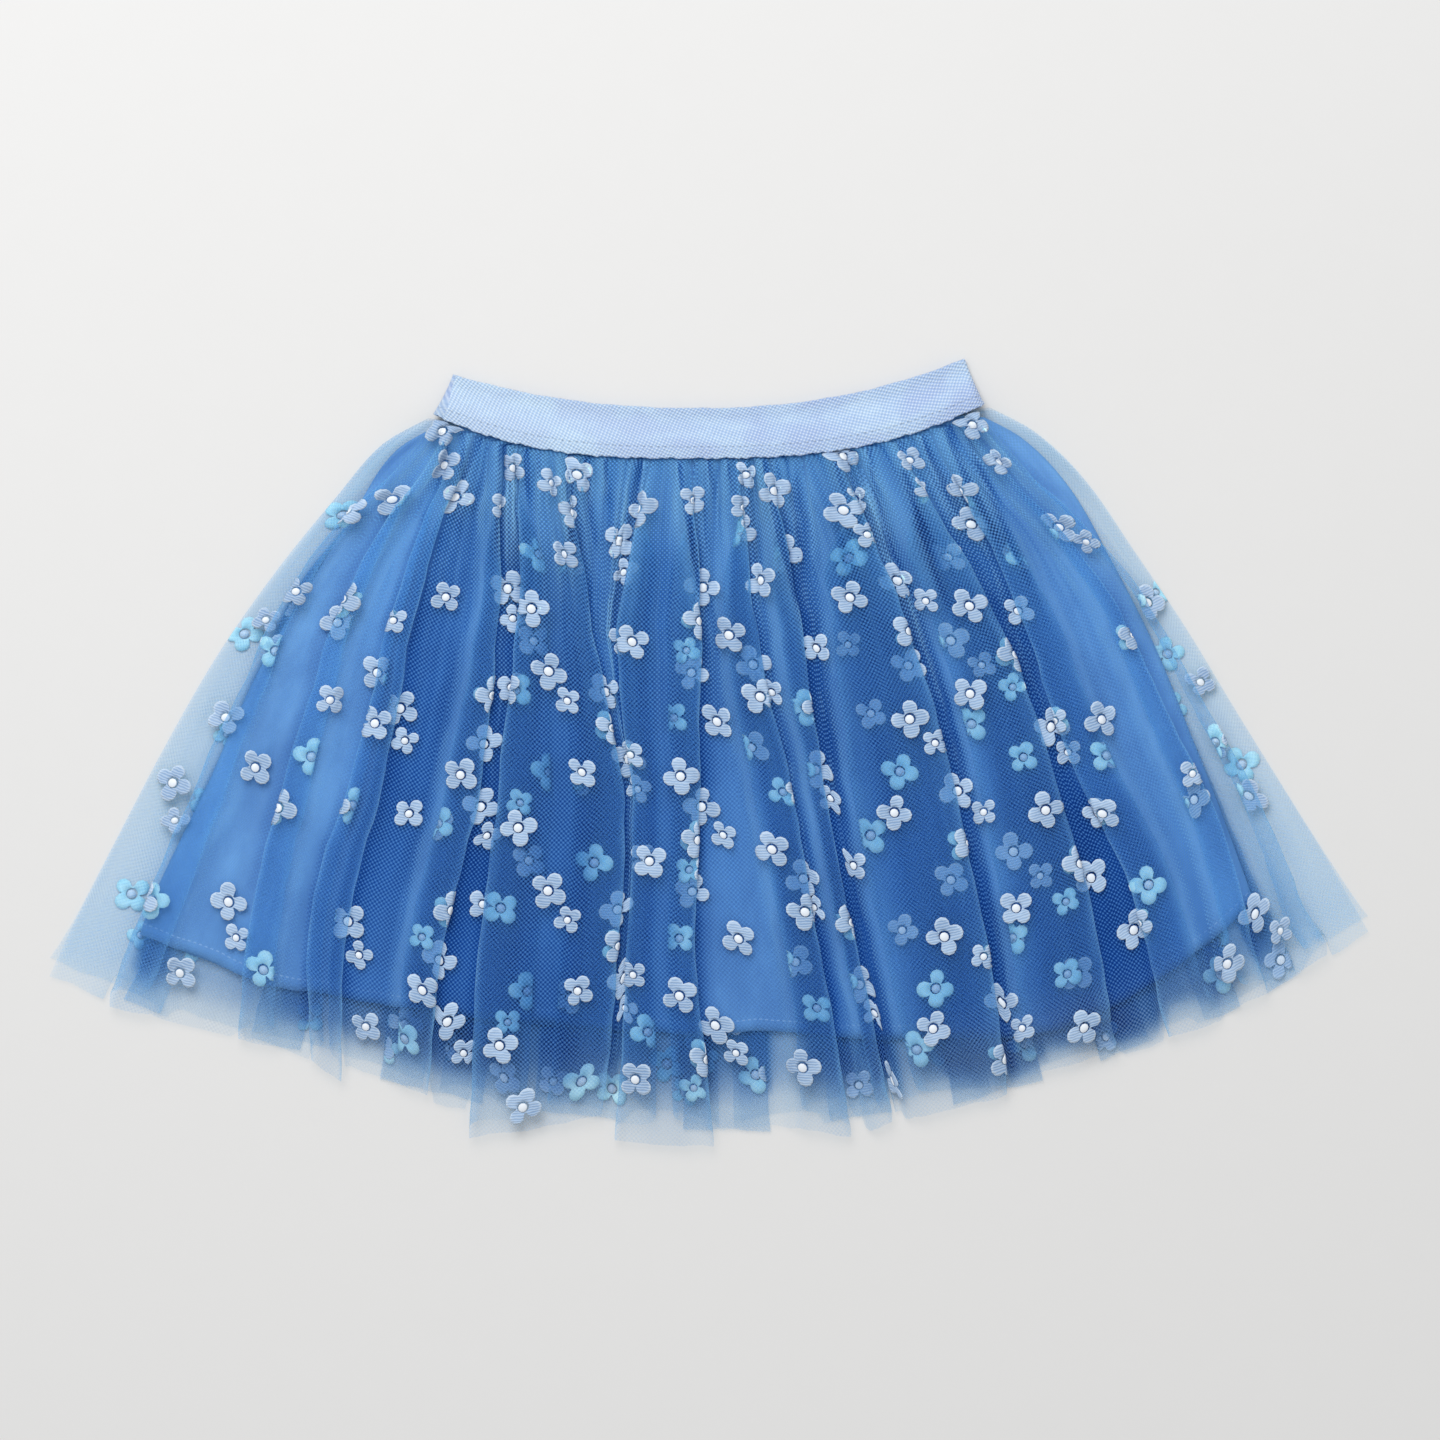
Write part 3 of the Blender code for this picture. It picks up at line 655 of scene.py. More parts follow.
    z = level * plyGap(panel, down)
    if front:
        puff = crimp + ripple * (0.25 + 0.4 * level) + 0.7 * flank - 1.6 * trough * ease(down / 0.02)
        z = z + flatZ(x, down, past) + puff * (1 - 0.5 * past)
    else:
        z = z + netShape["backZ"] + skirt["seamLift"] * lift(down) + 0.3 * crimp
    points = np.stack([x, y, z], axis=2) * mm
    normals = gridNormals(points)
    hem = ease((down - netShade["hemMark"]) / 0.16) * ease(fromSide / netShade["hemMarkSide"])
    marks = {
        "crease": foldCrease(normals, down), "shade": shade, "crownHighlight": crownHighlight, "hidden": hidden,
        "waist": np.exp(-np.maximum(down, 0) / netShade["waistLength"]), "hem": hem,
    }
    return {"points": points, "normals": normals, "marks": marks, **clothLengths(points, down, section)}


def addGrid(name, points, uv, marks, materials):
    # a grid of points becomes a mesh, with its places on the flat cloth and named strengths per point
    rows, columns = points.shape[:2]
    index = np.arange(rows * columns).reshape(rows, columns)
    quads = np.stack([index[:-1, :-1], index[1:, :-1], index[1:, 1:], index[:-1, 1:]], axis=2).reshape(-1, 4)
    return addMesh(name, points.reshape(-1, 3), quads, uv.reshape(-1, 2), marks, materials)


def addPlaces(mesh, name, uv):
    layer = mesh.uv_layers.new(name=name)
    corners = np.empty(len(mesh.loops), np.int32)
    mesh.loops.foreach_get("vertex_index", corners)
    layer.data.foreach_set("uv", np.asarray(uv, np.float32)[corners].ravel())


def addMesh(name, points, quads, uv, marks, materials, slots=None):
    mesh = bpy.data.meshes.new(name)
    mesh.from_pydata(points.tolist(), [], quads.tolist() if hasattr(quads, "tolist") else quads)
    addPlaces(mesh, "cloth", uv)
    for key, values in marks.items():
        attribute = mesh.attributes.new(key, "FLOAT", "POINT")
        attribute.data.foreach_set("value", np.asarray(values, np.float32).ravel())
    for material in materials:
        mesh.materials.append(material)
    if slots is not None:
        mesh.polygons.foreach_set("material_index", np.asarray(slots, np.int32))
    mesh.shade_smooth()
    piece = bpy.data.objects.new(name, mesh)
    bpy.context.scene.collection.objects.link(piece)
    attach(piece, "root")
    return piece


# Finishes. Colours are linear; cover is the share of a ply that its threads fill
# deep and the shade tint are the colours of painted shade, and pale the colour of painted highlights
netLook = {
    "fibre": (0.155, 0.45, 1.0, 1), "glow": (0.50, 0.86, 1.0, 1), "pale": (0.31, 0.66, 1.0, 1),
    "hem": (0.29, 0.45, 0.68, 1), "bright": (0.13, 0.50, 1.0, 1), "deep": (0.02, 0.10, 0.36, 1),
    "tint": (0.96, 0.985, 1.0, 1), "shadeTint": (0.14, 0.345, 0.625, 1),
    "cover": 0.165, "pattern": 1.35, "mesh": 2.2, "creaseCover": 0.42, "shadeCover": 1.0, "hidden": 0.92,
}


def netMaterial():
    # each ply is a mix of clear gaps and threads; the marks say where the cloth looks denser and where shade
    # and highlights are painted
    paint = Paint("tulle")
    uv, weave = paint.places(), paint.places("weave")
    u, v = paint.split(weave)
    cell = u.wave(netLook["mesh"] * mm) * v.wave(netLook["mesh"] * mm)
    waist, hem = paint.mark("waist"), paint.mark("hem")
    shown = 1.0 - netLook["hidden"] * paint.mark("hidden")
    fade = paint.grain(uv, 260.0, 38.0, 1.0).between(0.38, 0.62)
    gathers = paint.grain(weave, 330.0, 9.0, 2.0, 0.6).between(0.4, 0.66)
    streaks = paint.grain(uv, 95.0, 7.0, 2.0, 0.6)
    # painted shade: the shade mark, with dark streaks painted into the gathers at the waist; it thickens the
    # cover, takes the deep colour and tint and dims the threads' glow
    shade = (paint.mark("shade") + (0.4 - gathers) * 0.6 * waist).clamp()
    # painted highlight: pale lines along the fold edges, where the cloth is also denser, on the crowns of the
    # gathers and in light streaks at the waist
    edge = paint.mark("crease") * (0.35 + 0.65 * fade) + 0.6 * paint.mark("crownHighlight")
    edge = (edge + 0.16 * waist * gathers).clamp()
    dots = netLook["pattern"] * cell * (0.2 + 0.5 * streaks + 1.2 * shade + 0.3 * hem + 0.7 * waist).clamp()
    cover = netLook["cover"] * (0.6 + 0.8 * streaks) * (1.0 - 0.2 * hem + 1.0 * waist)
    cover = 1.0 - (1.0 - cover) ** (1.0 + netLook["shadeCover"] * shade)
    cover = (cover * (1.0 + dots) * shown + edge * netLook["creaseCover"]).clamp()
    shadeShare = shade * (1.0 - 0.5 * hem) * (1.0 - 0.5 * cell.clamp())
    colour = paint.layers(netLook["fibre"], (waist * 0.6, netLook["bright"]), (hem * 0.9, netLook["hem"]),
                          (shadeShare, netLook["deep"]), (edge, netLook["pale"]))
    inputs = {"Base Color": colour, "Roughness": 0.7, "Specular IOR Level": 0.04}
    front = paint.node("ShaderNodeBsdfPrincipled", None, inputs).out()
    glow = paint.node("ShaderNodeBsdfTranslucent", None, {"Color": netLook["glow"]}).out()
    fibre = paint.mixShader((0.5 - 0.42 * shade + 0.1 * waist) * (1.0 - 0.8 * hem), front, glow)
    clear = paint.node("ShaderNodeBsdfTransparent", None, {"Color": netLook["tint"]}).out()
    dim = paint.node("ShaderNodeBsdfTransparent", None, {"Color": netLook["shadeTint"]}).out()
    clear = paint.mixShader((shade * shown * (1.0 - 0.45 * cell)).clamp(), clear, dim)
    return paint.finish(paint.mixShader(cover, clear, fibre))


# dip is the colour of painted shade in the lining's creases
liningLook = {
    "colour": (0.170, 0.390, 0.74, 1), "deep": (0.105, 0.265, 0.58, 1), "dip": (0.06, 0.18, 0.46, 1),
    "thread": (0.35, 0.55, 0.85, 1), "weave": 0.0007, "stitch": 0.0028, "stitchHalf": 0.0005,
}


def liningMaterial():
    paint = Paint("liningCloth")
    uv = paint.places()
    u, v = paint.split(uv)
    soft = paint.grain(uv, 34.0, 15.0, 4.0, 0.55).between(0.36, 0.64)
    weave = u.wave(liningLook["weave"]) * v.wave(liningLook["weave"])
    # v is the distance above the cut hem, and the hem's stitches lie one hem depth up
    line = 1.0 - ((v - lining["hemDepth"] * mm).abs() / liningLook["stitchHalf"]).clamp()
    stitch = line * u.wave(liningLook["stitch"]).between(-0.3, 0.1)
    # the lining's creases are painted darker as shade
    colour = paint.layers(liningLook["deep"], (soft, liningLook["colour"]),
                          (paint.mark("dip") * 0.5, liningLook["dip"]), (stitch, liningLook["thread"]))
    height = weave * 0.12 + stitch * 0.6 - line * 0.5 + soft * 0.3
    return paint.solidCloth(colour, 0.55 - 0.1 * soft, (height, 0.0002, 0.5), sheen=0.15)


# ridge and hollow colour the twill, painted light on its ridges and dark in its hollows; pale serves the
# brushed patches and the painted highlight at the left end
bandLook = {
    "mid": (0.43, 0.63, 0.88, 1), "lilac": (0.36, 0.49, 0.79, 1), "pale": (0.62, 0.83, 0.99, 1),
    "ridge": (0.84, 0.93, 1.0, 1), "hollow": (0.20, 0.33, 0.62, 1), "twill": 0.0023, "stitch": 0.003,
    "stitchUp": 0.0052, "stitchHalf": 0.0007, "width": 25.0, "columns": 240, "rows": 34, "turnSteps": 12,
    "wall": 1.4, "lowZ": 0.75, "topZ": 3.4, "seamZ": 8.9, "stepStart": 0.17, "stepEnd": 0.85, "weld": 0.00002,
}


def bandMaterial():
    paint = Paint("brushedElastic")
    uv = paint.places()
    u, v = paint.split(uv)
    twill = (u + v * 0.7).wave(bandLook["twill"]) * (u * 0.35 - v).wave(bandLook["twill"])
    fuzz = paint.noise(uv, 900.0, 3.0, 0.7)
    patch = paint.grain(uv, 26.0, 40.0, 3.0, 0.55)
    streak = paint.grain(uv, 60.0, 220.0)
    # brushed patches are paler at random, and the left end is painted palest as a highlight
    patchesAndHighlight = (streak * 0.35 + patch * 0.65).between(0.46, 0.7) * 0.45 + (0.8 - u / 0.18).clamp() * 0.55
    # the twill's own pattern, with a painted highlight on its ridges and painted shade in its hollows
    colour = paint.layers(bandLook["lilac"], (patch.between(0.38, 0.6) * 0.6, bandLook["mid"]),
                          (patchesAndHighlight.clamp(), bandLook["pale"]),
                          (twill.clamp() * 0.62 + fuzz * 0.12, bandLook["ridge"]),
                          ((0.0 - twill).clamp() * 0.42, bandLook["hollow"]))
    groove = 1.0 - ((v - bandLook["stitchUp"]).abs() / bandLook["stitchHalf"]).clamp()
    dash = u.wave(bandLook["stitch"]).between(-0.2, 0.4)
    height = twill * 0.5 + fuzz * 0.9 - groove * (1.0 - 0.5 * dash) * 0.8
    return paint.solidCloth(colour, 0.85 - 0.1 * fuzz, (height, 0.0005, 0.9), sheen=0.25, shine=0.3)


flowerLook = {
    "face": (0.21, 0.35, 0.58, 1), "faceLit": (0.34, 0.50, 0.74, 1), "rim": (0.72, 0.85, 0.98, 1),
    "ribs": 0.0013, "reverse": (0.56, 0.92, 0.98, 1), "reverseLit": (0.72, 0.99, 1.0, 1),
    "bead": (0.80, 0.87, 0.95, 1), "beadLit": (0.90, 0.94, 1.0, 1),
    "petalAngles": (-45, -38, -28, -15, 0, 15, 28, 38),
    "topRings": (0.0, 0.25, 0.5, 0.77, 1.0), "topPuff": (0.0, 0.8, 1.0, 0.8, 0.0), "puff": 0.1,
    "lowRings": (0.0, 0.5, 1.0), "petal": 0.40, "petalReach": 0.60, "waist": 0.37,
    "hole": 2.8, "lift": 0.12, "thick": 0.38,
    "beadSize": 2.2, "beadHigh": 0.8, "beadSides": 10, "beadShift": (-0.2, -0.26),
}


def petalMaterial():
    paint = Paint("petalFace")
    uv = paint.places()
    v = paint.split(uv)[1]
    ribs = (v * (2 * math.pi / flowerLook["ribs"]) + paint.noise(uv, 420.0) * 6.0).sin() * 0.5 + 0.5
    tone = paint.noise(uv, 38.0, 1.0).between(0.35, 0.65)
    rim = paint.mark("rim").between(0.72, 1.0)
    colour = paint.layers(flowerLook["face"], (tone, flowerLook["faceLit"]), (ribs * 0.42, flowerLook["rim"]),
                          (rim * 0.6, flowerLook["rim"]))
    return paint.solidCloth(colour, 0.75, (ribs, 0.00022, 0.7), sheen=0.2, shine=0.3)


def reverseMaterial():
    paint = Paint("petalReverse")
    soft = paint.noise(paint.places(), 160.0)
    colour = paint.layers(flowerLook["reverse"], (soft.between(0.3, 0.7), flowerLook["reverseLit"]))
    return paint.solidCloth(colour, 0.7, (soft, 0.0002, 0.4))


def beadMaterial():
    paint = Paint("flowerCentre")
    grain = paint.noise(paint.places(), 900.0)
    colour = paint.layers(flowerLook["bead"], (grain * 0.4, flowerLook["beadLit"]))
    return paint.solidCloth(colour, 0.45, (grain, 0.0001, 0.4))


# Flowers: a charted repeat on the flat cloth, then each one laid on its ply
flowerRepeat = {
    "width": 100.0, "height": 105.0, "stagger": 37.0, "largest": 18.6, "tilesUp": (-6, 5),
    "sideMargin": 6.0, "seamMargin": 1.0, "hemMargin": 9.5, "apart": 14.5, "layerApart": 1.5,
    # across, up, size across, turn in degrees
    "flowers": (
        (14, 18, 18.6, 5), (24.5, 32, 13.8, 40), (52, 41, 18.2, 15), (81, 13, 15.5, 52),
        (65, 71, 18.6, 72), (75.5, 85, 13.9, 25), (31, 82, 17.6, 35), (2, 59, 17.4, 60),
    ),
}


def flowerShape(size, turn, seed):
    # rings of points of one flower, from the hole in its middle to the edge of its four petals
    half = size / 2
    petal, reach = half * flowerLook["petal"], half * flowerLook["petalReach"]
    angles = np.radians([quarter + a for quarter in (0, 90, 180, 270) for a in flowerLook["petalAngles"]])
    outline = np.zeros(len(angles))
    for k in range(4):
        middle = k * math.pi / 2 + 0.12 * math.sin(seed * 3.7 + k * 2.1)
        grow = 1 + 0.06 * math.sin(seed * 5.1 + k * 1.9)
        off = np.angle(np.exp(1j * (angles - middle)))
        inside = (petal * grow) ** 2 - (reach * np.sin(off)) ** 2
        edge = reach * np.cos(off) + np.sqrt(np.maximum(inside, 0))
        outline = np.maximum(outline, np.where((inside > 0) & (np.abs(off) < 1.2), edge, 0))
    outline = np.maximum(outline, half * flowerLook["waist"])
    hole = flowerLook["hole"] * size / flowerRepeat["largest"]
    spin = angles + math.radians(turn)
    sets = []
    for shares in (flowerLook["topRings"], flowerLook["lowRings"]):
        radius = np.concatenate([hole + (outline - hole) * share for share in shares])
        around = np.tile(spin, len(shares))
        sets.append(np.stack([radius * np.cos(around), radius * np.sin(around)], axis=1) * mm)
    return sets


def layOnCloth(panel, centreRow, column, offsets, squeeze):
    # points of the cloth, and its normals, at the given distances across and up from one place on it
    points, normals, arc = panel["points"], panel["normals"], panel["arc"]
    fall = panel["falls"][:, int(column)]
    rows, columns = arc.shape
    fallAt = np.interp(centreRow, np.arange(rows), fall) - offsets[:, 1]
    row = np.interp(fallAt, fall, np.arange(rows))
    low = np.clip(np.floor(row).astype(int), 0, rows - 2)
    share = (row - low)[:, None]
    placed, facing = np.zeros((len(offsets), 3)), np.zeros((len(offsets), 3))
    for r in np.unique(np.concatenate([low, low + 1])):
        start = np.interp(column, np.arange(columns), arc[r])
        at = np.interp(start + offsets[:, 0] * squeeze, arc[r], np.arange(columns))
        left = np.clip(np.floor(at).astype(int), 0, columns - 2)
        part = (at - left)[:, None]
        here = points[r, left] * (1 - part) + points[r, left + 1] * part
        normal = normals[r, left] * (1 - part) + normals[r, left + 1] * part
        weight = np.where(low == r, 1 - share[:, 0], np.where(low + 1 == r, share[:, 0], 0))[:, None]
        placed += here * weight
        facing += normal * weight
    facing /= np.maximum(np.linalg.norm(facing, axis=1, keepdims=True), 1e-9)
    return placed, facing


def chartedFlowers(seed, shift):
    # the repeat over the whole cloth: metres across and down it, size, turn and a number for each flower
    cut, margin = skirt["cutWidth"] * mm, flowerRepeat["sideMargin"] * mm
    for tileX in range(-1, int(cut / (flowerRepeat["width"] * mm)) + 2):
        for tileY in range(*flowerRepeat["tilesUp"]):
            for k, (fx, fy, size, turn) in enumerate(flowerRepeat["flowers"]):
                s = (fx + tileX * flowerRepeat["width"] + shift[0]) * mm
                t = (fy + tileY * flowerRepeat["height"] + tileX * flowerRepeat["stagger"] + shift[1]) * mm
                number = seed + k * 1.3 + tileX * 2.9 + tileY * 4.7
                if margin < s < cut - margin:
                    yield s + 0.002 * math.sin(number * 3.3), t, size, turn, number


def shows(number, crowd, edgeward):
    # fewer flowers show where the net is gathered tightest, and near its sides
    if crowd < 0.62 and math.sin(number * 7.7) > 2.8 * crowd - 0.62:
        return False
    return edgeward >= 0.16 or math.sin(number * 5.9) <= 0.25


def flowerPoints(panel, row, column, size, squeeze, top, low, topAt, topUp):
    # the top, the underside and the bead of one flower, on the cloth and off it
    angles, sides = 4 * len(flowerLook["petalAngles"]), flowerLook["beadSides"]
    lowAt, lowUp = layOnCloth(panel, row, column, low, squeeze)
    puff = flowerLook["puff"] * np.repeat(flowerLook["topPuff"], angles)[:, None]
    high = topAt + topUp * (flowerLook["lift"] + flowerLook["thick"] + puff) * mm
    under = lowAt + lowUp * flowerLook["lift"] * mm
    bead = flowerLook["beadSize"] * size / flowerRepeat["largest"] * mm
    around = np.arange(sides) * 2 * math.pi / sides
    disc = np.stack([bead * np.cos(around), bead * np.sin(around)], axis=1)
    beadFlat = np.concatenate([disc, disc * 0.85, np.zeros((1, 2))]) + np.array(flowerLook["beadShift"]) * mm
    beadAt, beadUp = layOnCloth(panel, row, column, beadFlat, max(squeeze, 0.7))
    tall = flowerLook["beadHigh"] * mm
    beadTop = beadAt + beadUp * np.repeat([0.7, 1.0, 1.08], [sides, sides, 1])[:, None] * tall
    beadLow = beadAt[:sides] + beadUp[:sides] * 0.05 * mm
    points = np.concatenate([high, under, beadTop, beadLow])
    points[:, 2] = np.maximum(points[:, 2], 0.03 * mm)
    rim = [np.repeat(flowerLook[key], angles) for key in ("topRings", "lowRings")]
    flat = np.concatenate([top, low, beadFlat, beadFlat[:sides]])
    return points, flat, np.concatenate([*rim, np.zeros(3 * sides + 1)])


def flowerFaces(base):
    # the faces of one flower and their materials, with its points in the order of flowerPoints
    angles, sides = 4 * len(flowerLook["petalAngles"]), flowerLook["beadSides"]
    tops, lows = len(flowerLook["topRings"]), len(flowerLook["lowRings"])
    under = base + tops * angles
    topEdge, lowEdge = under - angles, under + (lows - 1) * angles
    faces, slots = [], []
    for a in range(angles):
        b = (a + 1) % angles
        for i in range(base, topEdge, angles):
            faces.append((i + a, i + angles + a, i + angles + b, i + b))
        for i in range(under, lowEdge, angles):
            faces.append((i + b, i + angles + b, i + angles + a, i + a))
        faces.append((topEdge + a, lowEdge + a, lowEdge + b, topEdge + b))
        faces.append((base + b, under + b, under + a, base + a))
        slots += [0] * (tops - 1) + [1] * (lows - 1) + [0, 0]
    dome = under + lows * angles
    ring, crest, foot = dome + sides, dome + 2 * sides, dome + 2 * sides + 1
    for a in range(sides):
        b = (a + 1) % sides
        faces.append((crest, ring + a, ring + b))
        faces.append((ring + a, dome + a, dome + b, ring + b))
        faces.append((dome + a, foot + a, foot + b, dome + b))
    faces.append(tuple(foot + a for a in reversed(range(sides))))
    return faces, slots + [2] * (3 * sides + 1)


def flowerPiece(name, panel, materials, seed, shift):
    arc, falls = panel["arc"], panel["falls"]
    rows, columns = arc.shape
    columnAt = arc[-1] / arc[-1, -1] * skirt["cutWidth"] * mm
    points, uvs, rims, faces, slots = [], [], [], [], []
    total, placed = 0, []
    for s, t, size, turn, number in chartedFlowers(seed, shift):
        column = np.interp(s, columnAt, np.arange(columns))
        fall = falls[:, int(column)]
        edgeward = min(column, columns - column) / columns
        onCloth = flowerRepeat["seamMargin"] * mm < t < fall[-1] - flowerRepeat["hemMargin"] * mm
        if not onCloth or (t < 0.05 and edgeward < 0.06):
            continue
        row = np.interp(t, fall, np.arange(rows))
        crowd = np.interp(row, np.arange(rows), arc[:, -1]) / arc[-1, -1]
        if not shows(number, crowd, edgeward):
            continue
        squeeze = 1 + 0.2 * min(max((0.55 - crowd) / 0.3, 0.0), 1.0)
        top, low = flowerShape(size, turn + 12 * math.sin(number), number)
        topAt, topUp = layOnCloth(panel, row, column, top, squeeze)
        # two flowers may overlap on different plies, not on the same one
        middle = topAt.mean(axis=0) / mm
        near = [other for other in placed if np.hypot(*(other - middle)[:2]) < flowerRepeat["apart"]]
        if any(abs(other[2] - middle[2]) < flowerRepeat["layerApart"] for other in near) or len(near) > 1:
            continue
        placed.append(middle)
        flower = flowerPoints(panel, row, column, size, squeeze, top, low, topAt, topUp)
        flowerFace, flowerSlots = flowerFaces(total)
        total += len(flower[0])
        points.append(flower[0])
        uvs.append(flower[1] + np.array([s, -t]))
        rims.append(flower[2])
        faces += flowerFace
        slots += flowerSlots
    piece = addMesh(name, np.concatenate(points), faces, np.concatenate(uvs),
                    {"rim": np.concatenate(rims)}, materials, slots)
    print(name, len(placed), "flowers")
    return piece


def thicken(piece, wall):
    solid = piece.modifiers.new("wall", "SOLIDIFY")
    solid.thickness = wall * mm
    solid.offset = 0


def liningDip(x, y, seed):
    crease = 0 * x
    for startX, startY, endX, endY, width, depth in liningCreases:
        run = np.array([endX - startX, endY - startY])
        along = ((x - startX) * run[0] + (y - startY) * run[1]) / (run @ run)
        off = ((x - startX) * run[1] - (y - startY) * run[0]) / math.sqrt(run @ run)
        off = off + 2.5 * wander(along * 5 + startX, seed)
        fade = ease(along / 0.3) * ease((1 - along) / 0.3)
        shape = np.exp(-np.where(off < 0, off / width, 2.2 * off / width) ** 2)
        crease = np.maximum(crease, depth * fade * shape)
    return crease


def liningPiece(name, height, waves, material, seed):
    across = np.linspace(0, 1, lining["columns"])[None, :]
    share = np.concatenate([netShape["startShares"], np.linspace(0, 1, lining["rows"])])[:, None]
    down = np.where(share < 0, share + 0 * across, share * liningDown(across))
    left, right = liningSides(down)
    left = left + lining["leftTaper"] * ease(down / 0.3) * ease((1 - share) / 0.35)
    x = blend(left, right, across)
    sway = 0.8 * wander(down * 9 + across * 8, seed) * ease(across / 0.05) * ease((1 - across) / 0.05)
    x = np.where(down <= 0, x, x + sway)
    hemWave = 3.2 * wander(across * 17, seed) + 0.8 * wander(across * 60, seed)
    y = placeY(x, down) + hemWave * np.clip(share, 0, 1) ** 8
    soft = 0.5 - 0.5 * np.cos(2 * math.pi * lining["folds"] * across)
    crinkle = 0.12 * wander(across * 90 + 2 * wander(down * 4, seed), seed + 2)
    dip = liningDip(x, y, seed) if waves else 0 * x
    z = height + skirt["seamLift"] * lift(down) + (waves * soft + crinkle - 0.6 * dip) * (1 - lift(down))
    above = (1 - share) * lining["flatLength"] + 0 * across
    flat = np.stack([across * lining["flatWidth"] + 0 * share, above], axis=2)
    piece = addGrid(name, np.stack([x, y, z], axis=2) * mm, flat, {"dip": dip}, [material])
    thicken(piece, lining["wall"])
    return piece


def bandPiece(material):
    # the elastic ring, pressed flat, with a soft rounded turn at each end
    count, turns = bandLook["columns"], bandLook["turnSteps"]
    angle = math.pi * np.arange(1, turns + 1) / (turns + 1)
    rings, places = [], []
    for row in range(bandLook["rows"]):
        share = row / (bandLook["rows"] - 1)
        half = blend(skirt["bandSeamHalf"], skirt["bandTopHalf"], share)
        low = bandLook["lowZ"]
        past = float(ease((share - bandLook["stepStart"]) / (bandLook["stepEnd"] - bandLook["stepStart"])))
        high = blend(bandLook["seamZ"], bandLook["topZ"], past)
        radius = (high - low) / 2
        flat, out, rise = np.linspace(-half + radius, half - radius, count), np.sin(angle), np.cos(angle)
        x = np.concatenate([flat, half - radius + radius * out, flat[::-1], -half + radius - radius * out])
        z = np.concatenate([flat * 0 + high, low + radius + radius * rise,
                            flat * 0 + low, low + radius - radius * rise])
        top = np.concatenate([np.ones(count), 0.5 + 0.5 * rise, np.zeros(count), 0.5 - 0.5 * rise])
        z = z + top * (0.28 * wander(x * 0.09, 2.0) + 0.16 * wander(x * 0.31 + share * 5, 4.0))
        y = blend(seamY(x), edgeY(x, bandTopEdge), share)
        y = y + (0.5 * wander(x * 0.45, 6.0) + 0.25 * wander(x * 1.3, 7.0)) * (1 - share) ** 4
        y = y + 0.25 * wander(x * 0.2, 9.0) * share**3
        x, y, z = (np.append(v, v[0]) for v in (x, y, z))
        rings.append(np.stack([x, y, z], axis=1))
        steps = np.linalg.norm(np.diff(np.stack([x, z], axis=1), axis=0), axis=1)
        around = np.concatenate([[0], np.cumsum(steps)])
        places.append(np.stack([around, np.full(len(x), share * bandLook["width"])], axis=1))
    piece = addGrid("waistbandElastic", np.array(rings) * mm, np.array(places) * mm, {}, [material])
    weld = piece.modifiers.new("weld", "WELD")
    weld.merge_threshold = bandLook["weld"]
    thicken(piece, bandLook["wall"])
    return piece


# The pieces
def netPiece(name, panel, material):
    u = panel["arc"][-1] / panel["arc"][-1, -1] * skirt["cutWidth"] * mm
    flat = np.stack([u[None, :] + 0 * panel["arc"], -panel["fall"][:, None] + 0 * panel["arc"]], axis=2)
    piece = addGrid(name, panel["points"], flat, panel["marks"], [material])
    addPlaces(piece.data, "weave", np.stack([panel["weave"], -panel["falls"]], axis=2).reshape(-1, 2))
    return piece


netCloth, liningCloth, elastic = netMaterial(), liningMaterial(), bandMaterial()
flowerCloth = [petalMaterial(), reverseMaterial(), beadMaterial()]

front = netPanel(frontNet)
back = netPanel(backNet)
for name, panel in (("front", front), ("back", back)):
    print(name, "net panel", panel["points"].shape, "hem", round(panel["arc"][-1, -1], 4))

netFront = netPiece("netFront", front, netCloth)
netBack = netPiece("netBack", back, netCloth)
flowersFront = flowerPiece("flowersFront", front, flowerCloth, 1.0, (0.0, 0.0))
# the back panel's flowers face the surface it lies on
back["normals"] = -back["normals"]
flowersBack = flowerPiece("flowersBack", back, flowerCloth, 5.0, (61.0, 40.0))
liningFront = liningPiece("liningFrontCloth", lining["frontZ"], lining["foldHeight"], liningCloth, 2.0)
liningBack = liningPiece("liningBackCloth", lining["backZ"], 0.0, liningCloth, 6.0)
band = bandPiece(elastic)
print("pieces made")

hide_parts("tulle_front")
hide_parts("tulle_back")
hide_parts("lining_front")
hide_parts("lining_back")
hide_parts("waistband")

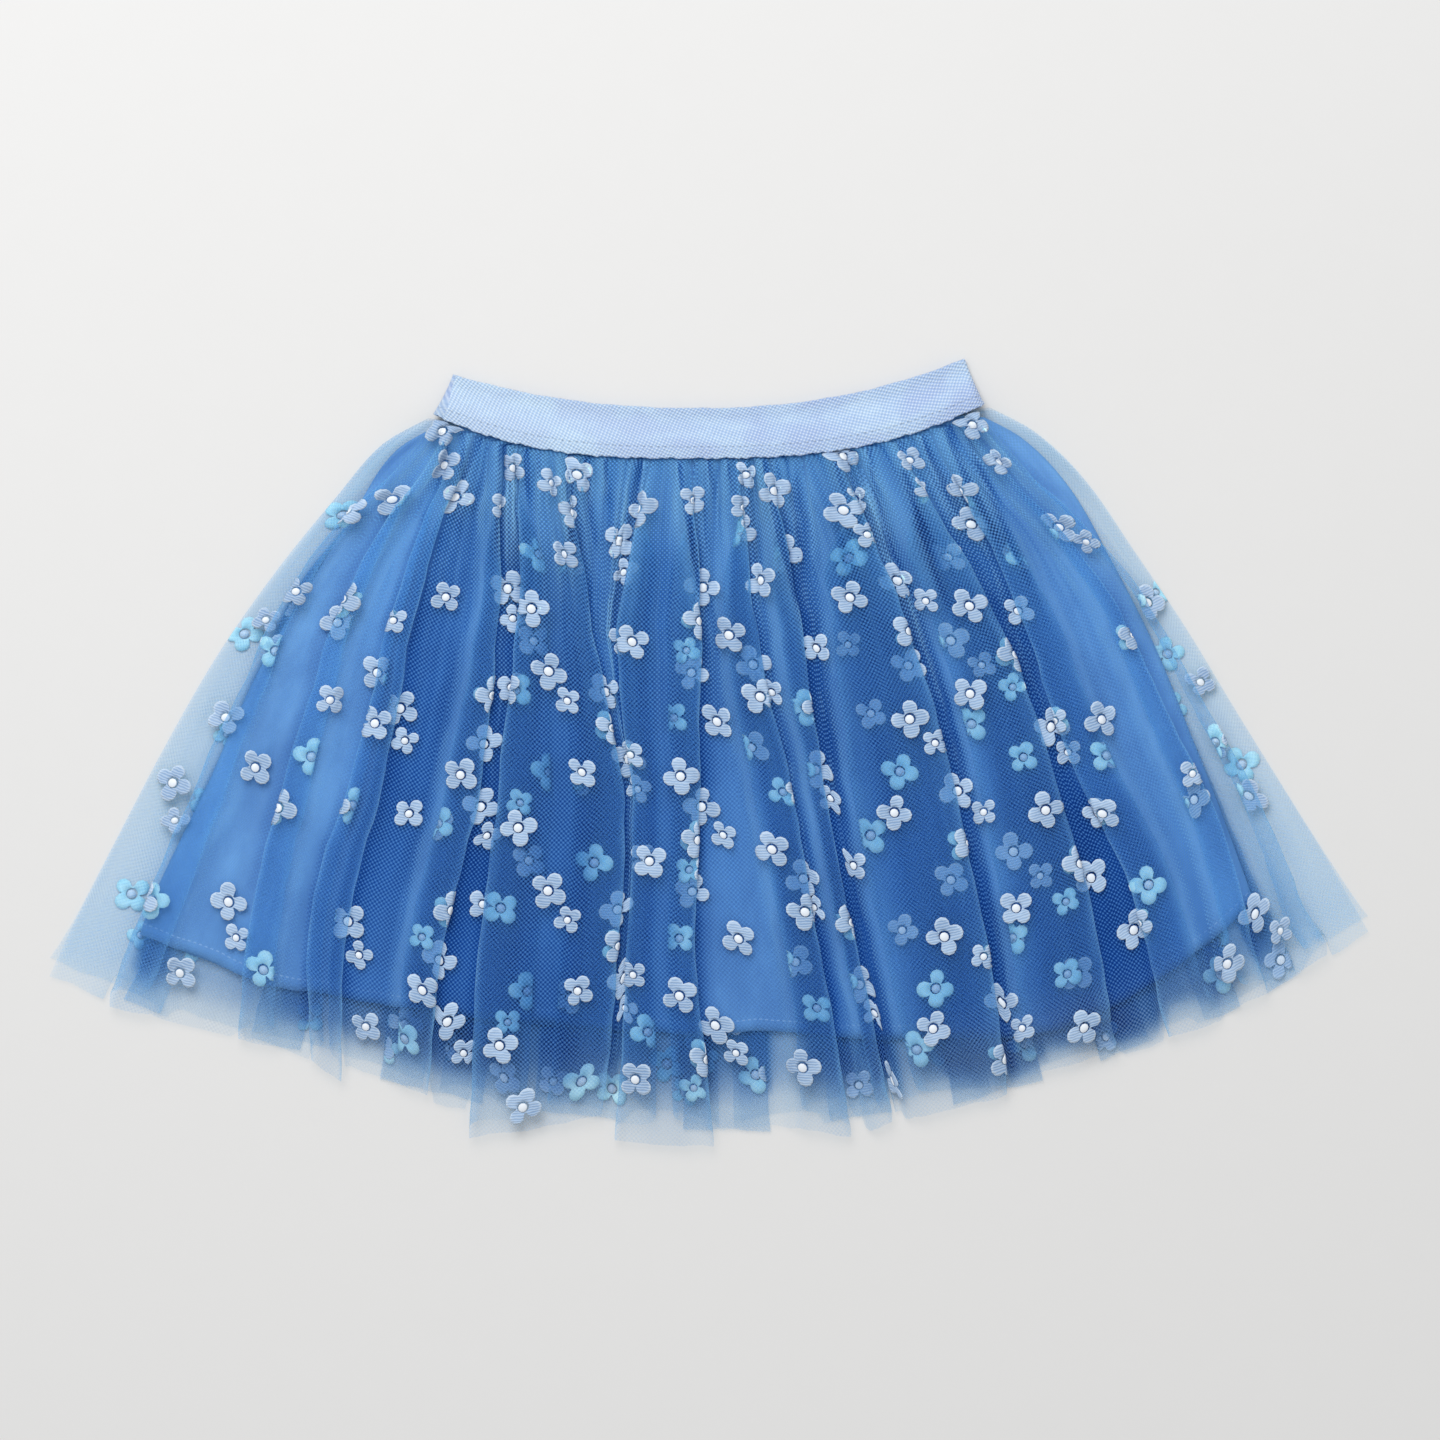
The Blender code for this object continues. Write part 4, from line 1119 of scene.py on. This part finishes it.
# The studio
studio = {
    "floor": (0.78, 0.775, 0.765, 1), "floorLit": (0.81, 0.807, 0.80, 1), "floorHalf": 6, "floorZ": -0.0004,
    "world": 0.57, "worldColour": (0.985, 0.99, 1.0, 1),
    "key": 41.0, "keyAt": (-0.55, 1.5, 1.9), "keySize": 1.6,
    "viewWidth": 0.6912, "height": 2.5, "aim": (0.0053, 0.0149), "sensor": 36,
}


def floorMaterial():
    paint = Paint("paleFloor")
    grain = paint.noise(paint.node("ShaderNodeTexCoord").out("Object"), 60.0, 3.0)
    colour = paint.layers(studio["floor"], (grain * 0.3, studio["floorLit"]))
    return paint.solidCloth(colour, 0.9, (grain, 0.0002, 0.1), shine=0.1)


half = studio["floorHalf"]
corners = [(-half, -half, 0), (half, -half, 0), (half, half, 0), (-half, half, 0)]
floorMesh = bpy.data.meshes.new("floor")
floorMesh.from_pydata(corners, [], [(0, 1, 2, 3)])
floorMesh.materials.append(floorMaterial())
floor = bpy.data.objects.new("floor", floorMesh)
floor.location.z = studio["floorZ"]

world = bpy.data.worlds.new("softRoom")
world.use_nodes = True
backdrop = world.node_tree.nodes["Background"]
backdrop.inputs["Color"].default_value = studio["worldColour"]
backdrop.inputs["Strength"].default_value = studio["world"]

keyData = bpy.data.lights.new("key", "AREA")
keyData.shape = "SQUARE"
keyData.size = studio["keySize"]
keyData.energy = studio["key"]
key = bpy.data.objects.new("key", keyData)
key.location = studio["keyAt"]
key.rotation_euler = (-key.location).to_track_quat("-Z", "Y").to_euler()

cameraData = bpy.data.cameras.new("camera")
cameraData.sensor_width = studio["sensor"]
cameraData.lens = studio["sensor"] * studio["height"] / studio["viewWidth"]
camera = bpy.data.objects.new("camera", cameraData)
camera.location = (*studio["aim"], studio["height"])

scene = bpy.context.scene
for thing in (floor, key, camera):
    scene.collection.objects.link(thing)
scene.world = world
scene.camera = camera
scene.view_settings.view_transform = "Standard"
# see-through plies lie many deep, and light that bounces on and on between them changes little
scene.cycles.transparent_max_bounces = 24
scene.cycles.max_bounces, scene.cycles.diffuse_bounces, scene.cycles.transmission_bounces = 5, 2, 3
print("studio ready")
